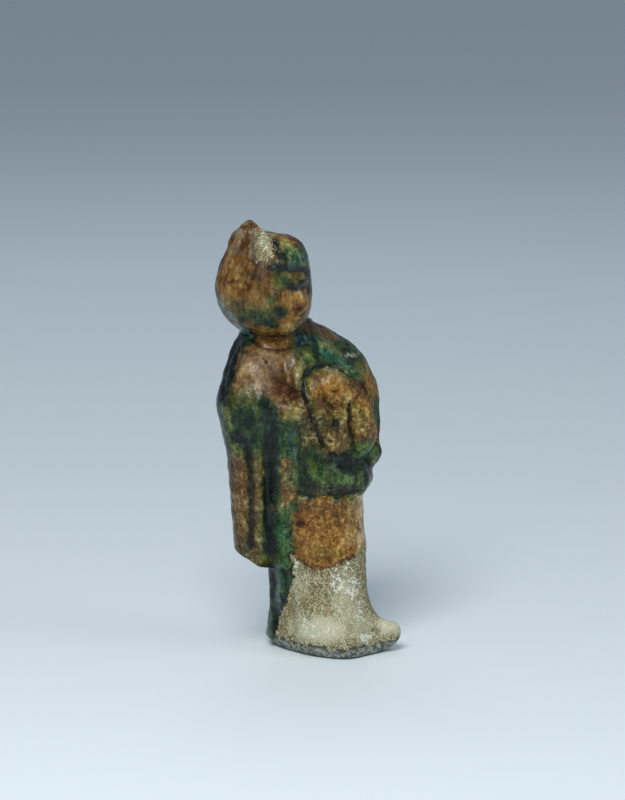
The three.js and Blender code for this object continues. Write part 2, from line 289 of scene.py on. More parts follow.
def column(p, side, front, squareness):
    x, y = spineAt(p[:, 2])
    a, b = profile(side, p[:, 2]), profile(front, p[:, 2])
    across, through = np.abs((p[:, 0] - x) / a), np.abs((p[:, 1] - y) / b)
    share = (across**squareness + through**squareness) ** (1 / squareness)
    return (share - 1) * np.minimum(a, b)


def robe(p, s):
    z = p[:, 2]
    x, y = spineAt(z)
    fold, square = s["backFolds"], s["squareness"]
    angle = np.arctan2(p[:, 0] - x, y - p[:, 1])  # 0 at the front
    folds = np.cos(fold["count"] * angle) * smooth(np.abs(angle), *fold["angles"]) * smooth(z, *fold["foot"])
    worn = s["rimBevel"] * (1 - np.clip(z / s["rimHeight"], 0, 1))
    squareness = square["foot"] - square["loss"] * smooth(z, *square["over"])
    wall = column(p, s["skirtSide"], s["skirtFront"], squareness)
    return np.maximum(wall + worn - fold["depth"] * folds * (1 - smooth(z, *fold["top"])), z - s["robeTop"])


def shoulders(p, s):
    z = p[:, 2]
    shawl, neck = s["shawl"], s["neck"]
    wall = column(p, s["shawlSide"], s["shawlFront"], shawl["squareness"])
    wall = np.maximum(wall, np.maximum(shawl["low"] - z, z - shawl["top"]))
    throat = tube(p, neck["foot"], neck["top"], neck["footRadius"], neck["topRadius"])
    return join(wall, throat, s["fillets"]["neck"])


# Turned so that the load faces the second way
def quarter(x, y):
    a = math.radians(attendant["carryAngle"])
    return x * math.cos(a) - y * math.sin(a), x * math.sin(a) + y * math.cos(a)


def hangingSleeve(p, s):
    sleeve, lining, crease, edge = s["rightSleeve"], s["sleeveLining"], s["wristFold"], s["hem"]
    top, foot = np.array(sleeve["top"], float), np.array(sleeve["foot"], float)
    share = np.clip((top[2] - p[:, 2]) / (top[2] - foot[2]), 0, 1)
    middle = top + share[:, None] * (foot - top)
    across, through = quarter(p[:, 0] - middle[:, 0], p[:, 1] - middle[:, 1])
    radius = sleeve["topRadius"] + share * (sleeve["footRadius"] - sleeve["topRadius"])
    above = np.maximum(p[:, 2] - top[2], 0)
    wall = np.sqrt(across**2 + (through * sleeve["flatness"]) ** 2 + above**2) - radius
    outside = smooth(-through, *edge["foldSides"]) * smooth(share, *edge["foldEnds"])
    fold = edge["fold"] * bell(across - edge["foldMiddle"], edge["foldWidth"]) * outside
    inner = join(
        tube(p, lining["top"], lining["foot"], lining["radius"], lining["radius"]),
        tube(p, crease["top"], crease["foot"], crease["topRadius"], crease["footRadius"]),
        s["fillets"]["wristFold"],
    )
    hem = foot[2] - edge["drop"] * (0.5 + across / (2 * sleeve["topRadius"]))
    return np.maximum(join(wall + fold, inner, s["fillets"]["lining"]), hem - p[:, 2])


# The left forearm, the roll of cloth over it and the bundle on top
def heldLoad(p, s):
    arm, sack, fillet = s["leftArm"], s["bundle"], s["fillets"]
    d = tube(p, arm["elbow"], arm["cuff"], arm["radius"], arm["cuffRadius"])
    d = join(d, tube(p, arm["elbow"], arm["drop"], arm["radius"], arm["dropRadius"]), fillet["drop"])
    d = join(d, limb(p, s["cuffRoll"]), fillet["cuffRoll"])
    offset = p - np.array(sack["centre"], float)
    across, through = quarter(offset[:, 0], offset[:, 1])
    leant = np.stack((across + sack["lean"] * offset[:, 2], through, offset[:, 2]), 1)
    return join(d, pillow(leant, sack["radii"]), fillet["bundle"])


def headAxes(head):
    turn, tip = math.radians(head["turn"]), math.radians(head["tip"])
    side = np.array((math.cos(turn), math.sin(turn), 0))
    forward = np.array((math.sin(turn) * math.cos(tip), -math.cos(turn) * math.cos(tip), math.sin(tip)))
    up = np.array((-math.sin(turn) * math.sin(tip), math.cos(turn) * math.sin(tip), math.cos(tip)))
    return side, forward, up


def headOffsets(p, head):
    offset = p - np.array(head["centre"], float)
    return [offset @ axis for axis in headAxes(head)]


def headForm(p, s):
    side, forward, up = headOffsets(p, s["head"])
    local = np.stack((side, forward, up), 1)
    hair, jaw, fillet, oval = s["hairRoll"], s["jaw"], s["fillets"], faceSizes["oval"]
    d = egg(local, s["head"]["radii"])
    d = join(d, egg(local - hair["middle"], hair["radii"]), fillet["hairRoll"])  # over the brow
    d = join(d, egg(local - jaw["middle"], jaw["radii"]), fillet["jaw"])
    d = join(d, join(limb(p, s["knot"]), limb(p, s["knotBase"]), fillet["knotBase"]), fillet["knot"])
    inFront = smooth(forward, *oval["forward"])
    outward = np.hypot(side, up - oval["height"]) / oval["radius"]
    d = d + oval["sunk"] * (1 - smooth(outward, *oval["edge"])) * inFront
    return d - face(side, up) * inFront


# Heights are from the middle of the head, and the face lies a little below the hair that frames it
faceSizes = {
    "oval": {"height": -28, "radius": 70, "edge": (0.75, 1.15), "forward": (30, 70), "sunk": 5},
    "eye": {
        "apart": 30,
        "height": -14,
        "halfWidth": 17,
        "halfHeight": 7,
        "socket": 7,
        "ball": 6.5,
        "slit": 2.2,
    },
    "brow": {"height": 3, "lift": 8, "bulge": 3},
    "cheek": {"apart": 40, "height": -50, "bulge": 3.5},
    "nose": {
        "top": -6,
        "base": -50,
        "bridge": 5,
        "growth": 9,
        "wings": 11,
        "wingBulge": 3.5,
        "tipBulge": 2.5,
    },
    "mouth": {"height": -70, "halfWidth": 19, "upperLip": 4.2, "lowerLip": 4.8, "parting": 4, "groove": 2},
    "chin": {"height": -95, "bulge": 4},
}


# How far the face stands out of the head, across and up from the middle of it
def face(side, up):
    eye, brow, cheek = faceSizes["eye"], faceSizes["brow"], faceSizes["cheek"]
    nose, mouth, chin = faceSizes["nose"], faceSizes["mouth"], faceSizes["chin"]
    out = np.zeros(len(side))
    for hand in (-1, 1):
        x = hand * side - eye["apart"]
        y = up - eye["height"]
        lidLine = y + 0.012 * x * x
        out -= eye["socket"] * bell(np.hypot(x / 22, y / 13), 1)
        lens = np.hypot(x / eye["halfWidth"], lidLine / eye["halfHeight"])
        out += eye["ball"] * (1 - smooth(lens, 0.25, 1.15))  # under its lids
        out -= eye["slit"] * bell(lidLine + 1, 1.6) * bell(x, eye["halfWidth"] * 0.75)  # where the lids meet
        browLine = up - brow["height"] - brow["lift"] * (1 - (x / 24) ** 2) * 0.6
        out += brow["bulge"] * bell(browLine, 5) * bell(x - 1, 22)
        beside = (hand * side - cheek["apart"]) / 20
        out += cheek["bulge"] * bell(np.hypot(beside, (up - cheek["height"]) / 18), 1)
        out += nose["wingBulge"] * bell(np.hypot(hand * side - nose["wings"], up - nose["base"] - 3), 8)
    along = np.clip((nose["top"] - up) / (nose["top"] - nose["base"]), 0, 1)
    bridge = (nose["bridge"] + nose["growth"] * along) * smooth(nose["top"] - up, -14, 10)
    bridge = bridge * (1 - smooth(nose["base"] - up, -7, 8))
    out += bridge * bell(side, 9 + 6 * along)
    out += nose["tipBulge"] * bell(np.hypot(side, up - nose["base"] - 7), 11)
    bow = up - mouth["height"] - 0.006 * side * side
    out += mouth["upperLip"] * bell(bow - 5, 5) * bell(side, mouth["halfWidth"] * 0.8)
    out += mouth["lowerLip"] * bell(bow + 6, 5.5) * bell(side, mouth["halfWidth"] * 0.62)
    out -= mouth["parting"] * bell(bow, 2.2) * bell(side, mouth["halfWidth"])
    out -= mouth["groove"] * bell(side, 3.5) * bell(up - (nose["base"] + mouth["height"]) / 2 - 3, 7)
    out += chin["bulge"] * bell(np.hypot(side / 20, (up - chin["height"]) / 13), 1)
    return out


def shoes(p, s):
    near, toe = s["nearShoe"], s["toe"]
    first = tube(p, near["heel"], near["tip"], near["radius"], near["radius"])
    second = tube(p, toe["heel"], toe["tip"], toe["radius"], toe["tipRadius"])
    return join(first, second, s["fillets"]["toe"])


# Main grooves, which the CAD solid has too: points, depth, width
carvedLines = [
    ([(-141, 15, 226), (-154, 18, 400), (-165, 14, 470), (-180, 1, 520), (-186, -3, 560)], 1, 18),
    ([(-84, -20, 618), (-68, -34, 531), (-38, -58, 456), (30, -50, 446)], 3.5, 13),
    ([(0, -97, 590), (-8, -91, 545), (-10, -90, 500), (-5, -94, 462)], 4.5, 13),
    ([(-64, -44, 640), (-30, -50, 676), (24, -42, 672), (92, -24, 600)], 4.5, 15),
]


# The whole figure
def clay(p):
    s = attendant
    hand, arm, fillet = s["rightHand"], s["leftArm"], s["fillets"]
    d = join(robe(p, s), shoulders(p, s), fillet["shoulders"])
    d = join(d, hangingSleeve(p, s), fillet["rightSleeve"])
    fist = tube(p, hand["wrist"], hand["knuckles"], hand["wristRadius"], hand["radius"])
    d = join(d, fist, fillet["rightHand"])
    upperArm = tube(p, arm["shoulder"], arm["elbow"], arm["radius"], arm["radius"])
    d = join(d, upperArm, fillet["leftArm"])
    d = join(d, heldLoad(p, s), fillet["load"])
    d = join(d, headForm(p, s), fillet["head"])
    d = join(d, shoes(p, s), fillet["shoes"])
    for points, depth, width in carvedLines:
        d = d + depth * bell(stroke(p, points), width)
    return -join(-d, p[:, 2], fillet["underside"])  # cut flat at the floor, with a slightly worn edge


# Uneven values around zero, in blobs of about that size
def noiseAt(p, size, seed):
    shift = Vector((seed * 17.3, seed * 5.1, seed * 9.7))
    return np.fromiter((noise.noise(Vector(v) + shift) for v in (p / size).tolist()), float, len(p))


# The points of a mesh as rows of an array, in metres
class Skin:
    def __init__(self, obj):
        self.mesh = obj.data
        n = len(self.mesh.vertices)
        flat = np.empty(n * 3, np.float32)
        self.mesh.vertices.foreach_get("co", flat)
        self.co = flat.reshape(-1, 3).astype(float)
        ends = np.empty(len(self.mesh.edges) * 2, np.int32)
        self.mesh.edges.foreach_get("vertices", ends)
        self.a, self.b = ends.reshape(-1, 2).T
        self.count = np.bincount(np.concatenate((self.a, self.b)), minlength=n)

    def clayPoints(self):
        return (self.co - standing) / unit

    def normals(self):
        self.write()
        flat = np.empty(len(self.co) * 3, np.float32)
        self.mesh.vertex_normals.foreach_get("vector", flat)
        return flat.reshape(-1, 3).astype(float)

    def write(self):
        self.mesh.vertices.foreach_set("co", self.co.astype(np.float32).ravel())
        self.mesh.update()

    # The average of each point's neighbours
    def spread(self, values):
        total = np.zeros_like(values)
        for k in range(values.shape[1]):
            total[:, k] = np.bincount(self.a, values[self.b, k], len(values)) + np.bincount(
                self.b, values[self.a, k], len(values)
            )
        return total / self.count[:, None]

    # Evens the points out along the surface
    def relax(self, share):
        gap = self.spread(self.co) - self.co
        n = self.normals()
        self.co += share * (gap - n * (gap * n).sum(1)[:, None])

    # Moves the points onto the clay forms, each by so many units at most
    def press(self, most):
        p = self.clayPoints()
        step = 0.6  # units
        d = clay(p)
        slope = np.stack([(clay(p + np.eye(3)[k] * step) - d) / step for k in range(3)], 1)
        steep = np.maximum((slope**2).sum(1), 0.25)
        way = np.clip(d[:, None] * slope / steep[:, None], -most, most)
        self.co -= way * unit


# Even faces, of so many mm
def remeshed(obj, size):
    remesh = obj.modifiers.new("even", "REMESH")
    remesh.mode = "VOXEL"
    remesh.voxel_size = size / 1000
    fine = bpy.data.meshes.new_from_object(obj.evaluated_get(bpy.context.evaluated_depsgraph_get()))
    obj.modifiers.clear()
    obj.data = fine
    return Skin(obj)


def copyOf(node, name):
    bm = bmesh.new()
    bm.from_mesh(node.data)
    bmesh.ops.remove_doubles(bm, verts=bm.verts, dist=1e-7)
    mesh = bpy.data.meshes.new(name)
    bm.to_mesh(mesh)
    bm.free()
    obj = bpy.data.objects.new(name, mesh)
    bpy.context.scene.collection.objects.link(obj)
    return obj


# Size of the faces in mm, the most that each press moves a point in units, and how far it is evened out
pressings = [
    (0.9, (12, 10, 8), 0.6),
    (0.45, (6, 4), 0.5),
]
lastPress = 2  # units

figure = copyOf(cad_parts["figure"], "attendant")
for faceSize, presses, evening in pressings:
    skin = remeshed(figure, faceSize)
    for most in presses:
        skin.press(most)
        skin.relax(evening)
    skin.write()
skin.press(lastPress)
print("clay pressed:", len(figure.data.vertices), "points,", len(figure.data.polygons), "faces")

# Creases seen in the picture: points in its pixels, depth in units, half width in pixels, then how far
# the clay rises on the right of a line that runs down, and on its other side, and how far from the line
creases = [
    ([(261, 402), (268, 414), (271, 431), (272, 452), (272, 480), (271, 507), (270, 558)], -1.5, 5, 0, 0, 9),
    ([(239, 434), (246, 446), (250, 462), (251, 480), (251.5, 507), (250, 546)], 2.5, 4, 1.5, 1.5, 7),
    ([(282, 432), (283, 445), (283, 460)], 3.5, 1.5, 1, 1, 3.5),
    ([(298, 446), (300, 470), (299, 492)], 2.5, 1.8, 0, 1.5, 4),
    ([(252, 339), (262, 347), (276, 350), (293, 347)], 4.5, 1.9, 0.5, 1.5, 4),  # collar of the under robe
    ([(304.5, 391), (304.5, 379), (308.5, 370), (318, 365), (334, 367), (348, 374), (361, 384), (371, 395)],
     3.6, 3, 0, 3, 6),  # sleeve over the bundle
    ([(304.5, 391), (306, 404), (311.5, 415), (317, 430), (323, 445), (328, 452)], 2.4, 3, 0, 3, 6),
    ([(349.7, 404), (349.7, 421), (351, 435), (354, 449)], 2.6, 2.6, 2, 2, 5),  # fold in the bundle
    ([(356, 422), (362, 428), (369, 421)], 2.8, 1.3, 0.8, 0.8, 2.4),
    ([(358, 412), (364, 419), (363, 428)], 2.6, 1.3, 0.8, 0.8, 2.4),
    ([(333, 454), (344, 457), (357, 462), (371, 466)], -5, 4.5, 0, 0, 6),  # under the bundle
    ([(289, 491), (312, 497), (345, 496), (367, 488)], 4.5, 2.6, 0, 2.5, 6),  # under the roll of cloth
    ([(270, 234), (275, 245), (278, 254), (273, 265), (266, 270)], 5, 2.6, 2.5, 1.5, 5),  # behind the knot
    ([(268, 228), (288, 231), (304, 241), (313, 255)], 2, 1.5, 1, 1, 3.5),  # combed hair
    ([(275, 233), (290, 237), (303, 246), (311, 258)], 2.2, 1.4, 1, 1, 3.5),
    ([(277, 240), (288, 242), (300, 249), (307, 258)], 1.4, 1.3, 0.8, 0.8, 3),
    ([(236, 238), (228, 254), (223, 274), (225, 292)], 1.6, 1.6, 0.8, 0.8, 4),
    ([(243, 240), (236, 256), (232, 276), (234, 296)], 1.6, 1.6, 0.8, 0.8, 4),
    ([(243, 262), (241, 276), (243, 290)], 1.2, 1.4, 0.7, 0.7, 3.5),
    ([(241, 226), (247, 223), (254, 225)], 1.8, 1.1, 0.8, 0.8, 2.4),  # turns of the knot
    ([(238, 231), (246, 228), (258, 229)], 1.8, 1.2, 0.8, 0.8, 2.6),
    ([(246, 231), (248, 242), (246, 254)], 2.4, 1.6, 1, 1, 3.6),
    ([(239, 340), (230, 358), (225, 378), (223, 402)], 3.5, 2.4, 2, 0, 5),  # edge of the shawl
    ([(302, 362), (299, 374), (298, 387)], -3.5, 2.4, 0, 0, 5),  # lapel
    ([(297, 350), (304, 357), (309, 366)], 2, 1.5, 0.8, 0.8, 3.4),
    ([(311, 338), (318, 348), (317, 358)], 2.5, 2, 1, 1, 4.5),
    ([(342, 337), (349, 350)], 2, 1.5, 0.5, 0.5, 3.5),
    ([(272, 374), (284, 384), (297, 392)], 1.6, 2.2, 0, 0, 4),
    ([(356, 452), (366, 449), (373, 452)], 2, 1.3, 0.8, 0.8, 3),
    ([(352, 458), (362, 456), (372, 459)], 1.8, 1.3, 0.8, 0.8, 3),
    ([(338, 572), (343, 600), (352, 628)], 2, 4.5, 1, 1, 8),
    ([(360, 590), (372, 606), (386, 616)], 2.5, 3.5, 0, 1, 7),
    ([(283, 560), (287, 585), (281, 610), (277, 634)], 2, 2.4, 0, 1.5, 5),  # strip of glaze down the hem
]
# Low swellings: middle and radii in pixels, height in units
mounds = [
    (293, 412, 9, 8, 7),
    (322, 627, 22, 13, 4.5),
    (264, 246, 11, 14, 4),
    (249, 222, 5, 4, 5),
    (363, 453, 10, 8, 3.5),
    (330, 476, 34, 12, 3),
    (255, 375, 20, 22, 3),
    (259, 500, 4, 50, 2),
    (285, 485, 4.5, 24, 2.5),
    (346, 610, 8, 16, 2),
]
# Flat swellings with an edge all round: height in units, width of the edge in pixels, outline in pixels
pads = [
    (6.5, 5, [
        (306, 396), (306, 382), (311, 373), (320, 369), (333, 371), (346, 378), (349, 392),
        (347, 410), (347, 430), (350, 448), (334, 452), (324, 446), (314, 424),
    ]),
    (5, 3.6, [
        (353, 407), (355, 398), (360, 395), (368, 402), (373, 414), (373, 428), (369, 440),
        (360, 444), (355, 436),
    ]),
]
# A loop that ties the lapel: middle and radii in pixels, heights in units
lapelLoop = {"middle": (291, 365), "radii": (4.6, 8.5), "rise": 2.6, "hollow": 1.5}
# Hollows that the thick glaze has filled and rounded: points in pixels, how often they are smoothed, and
# how far from the line that begins to fade and ends
filledHollows = {
    "lines": [
        [(266, 420), (271, 432), (272, 452), (272, 480), (271, 507), (269, 560)],
        [(352, 462), (364, 464), (374, 462)],
        [(335, 362), (348, 369), (361, 380), (372, 393), (378, 412), (379, 436)],
    ],
    "steps": 12,
    "fade": (5, 11),
}
clayLumps = [(2.6, 42), (1.1, 15), (0.5, 7)]  # height and size of the uneven skin, in units


# How far points of the picture are from a line of points, on which side, and how far along it
def besideRun(u, v, run):
    lengths = [math.dist(a, b) for a, b in zip(run, run[1:])]
    gap = np.full(len(u), 1e9)
    side = np.ones(len(u))
    share = np.zeros(len(u))
    done = 0
    for (x, y), (nextX, nextY), length in zip(run, run[1:], lengths):
        across, down = (nextX - x) / length, (nextY - y) / length
        along = np.clip((u - x) * across + (v - y) * down, 0, length)
        here = np.hypot(u - x - along * across, v - y - along * down)
        nearer = here < gap
        gap = np.where(nearer, here, gap)
        side = np.where(nearer, np.sign((u - x) * down - (v - y) * across), side)
        share = np.where(nearer, (done + along) / sum(lengths), share)
        done += length
    return gap, side, share


# How deep points of the picture lie inside a closed outline, in pixels; below zero outside it
def depthInside(u, v, outline):
    inside = np.zeros(len(u), bool)
    for (x, y), (nextX, nextY) in zip(outline, outline[1:] + outline[:1]):
        level = (y > v) != (nextY > v)
        inside ^= level & (u < x + (v - y) * (nextX - x) / ((nextY - y) or 1))
    gap = besideRun(u, v, outline + outline[:1])[0]
    return np.where(inside, gap, -gap)


# How far the clay faces a side, from 0 to 1
def facing(n, azimuth, elevation, low, high):
    return smooth(n @ np.array(viewAxes(azimuth, elevation)[2]), low, high)


# How far the picture's finer relief stands out, in units
def reliefOf(co, n):
    u, v = pictureOf(co)
    out = np.zeros(len(co))
    for run, depth, halfWidth, riseRight, riseLeft, reach in creases:
        gap, side, share = besideRun(u, v, run)
        ends = smooth(share, -0.02, 0.1) * (1 - smooth(share, 0.9, 1.02))
        rise = np.where(side > 0, riseRight, riseLeft) * bell(gap - reach, reach * 0.6)
        out += (rise * smooth(gap, 0, halfWidth) - depth * bell(gap, halfWidth)) * (0.25 + 0.75 * ends)
    for x, y, radiusX, radiusY, height in mounds:
        out += height * bell(np.hypot((u - x) / radiusX, (v - y) / radiusY), 1)
    for height, edgeWidth, outline in pads:
        out += height * smooth(depthInside(u, v, outline), -1, edgeWidth)
    (x, y), (radiusX, radiusY) = lapelLoop["middle"], lapelLoop["radii"]
    loop = np.hypot((u - x) / radiusX, (v - y) / radiusY)
    out += lapelLoop["rise"] * bell(loop - 1, 0.3) - lapelLoop["hollow"] * bell(loop, 0.6)
    return out * facing(n, **photoSide, low=-0.05, high=0.4)


def fillHollows(s):
    u, v = pictureOf(skin.co)
    gap = np.min([besideRun(u, v, run)[0] for run in s["lines"]], axis=0)
    share = (1 - smooth(gap, *s["fade"])) * facing(skin.normals(), **photoSide, low=-0.6, high=-0.1)
    for _ in range(s["steps"]):
        skin.co += (skin.spread(skin.co) - skin.co) * share[:, None]


fillHollows(filledHollows)

# The relief follows evened directions, so that it doesn't fold
n = skin.normals()
smoothNormals = skin.spread(skin.spread(n))
smoothNormals /= np.linalg.norm(smoothNormals, axis=1)[:, None]
skin.co += smoothNormals * (reliefOf(skin.co, n) * unit)[:, None]
points = skin.clayPoints()
lumps = sum(height * noiseAt(points, size, seed) for seed, (height, size) in enumerate(clayLumps, 1))
upright = smooth(skin.co[:, 2], 0.0006, 0.003)  # metres above the floor; the underside stays flat
skin.co += n * (lumps * upright * unit)[:, None]
skin.relax(0.4)
skin.co[:, 2] = np.maximum(skin.co[:, 2], 0)
print("relief carved")

figure.data.shade_smooth()
skin.write()
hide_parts("figure")
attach(figure, "root")

# Glazes and clays as they look, with a few colours for painted reflections and painted light, in the 0 to
# 255 of a colour picker
glazes = {
    "amber": (151, 111, 51),
    "toffee": (112, 80, 40),
    "honey": (142, 114, 68),
    "ember": (72, 43, 22),
    "rust": (101, 75, 40),
    "straw": (140, 130, 80),
    "blush": (132, 109, 84),
    "gold": (128, 108, 50),
    "leaf": (92, 98, 44),
    "green": (42, 67, 44),
    "deepGreen": (28, 46, 36),
    "brightGreen": (38, 78, 48),
    "teal": (52, 96, 78),
    "bluish": (44, 70, 77),
    # painted reflection of the sky
    "skyBlue": (88, 112, 112),
    "ink": (24, 34, 34),
    "navy": (20, 28, 30),
    "umber": (74, 67, 36),
    "darkUmber": (50, 43, 30),
    "mud": (90, 77, 57),
    "ash": (124, 116, 102),
    # painted reflection, a pale blue grey
    "milk": (134, 156, 158),
    # painted light, a pale sand
    "sand": (186, 160, 118),
}
slip = (216, 208, 184)  # the pale body under the glaze

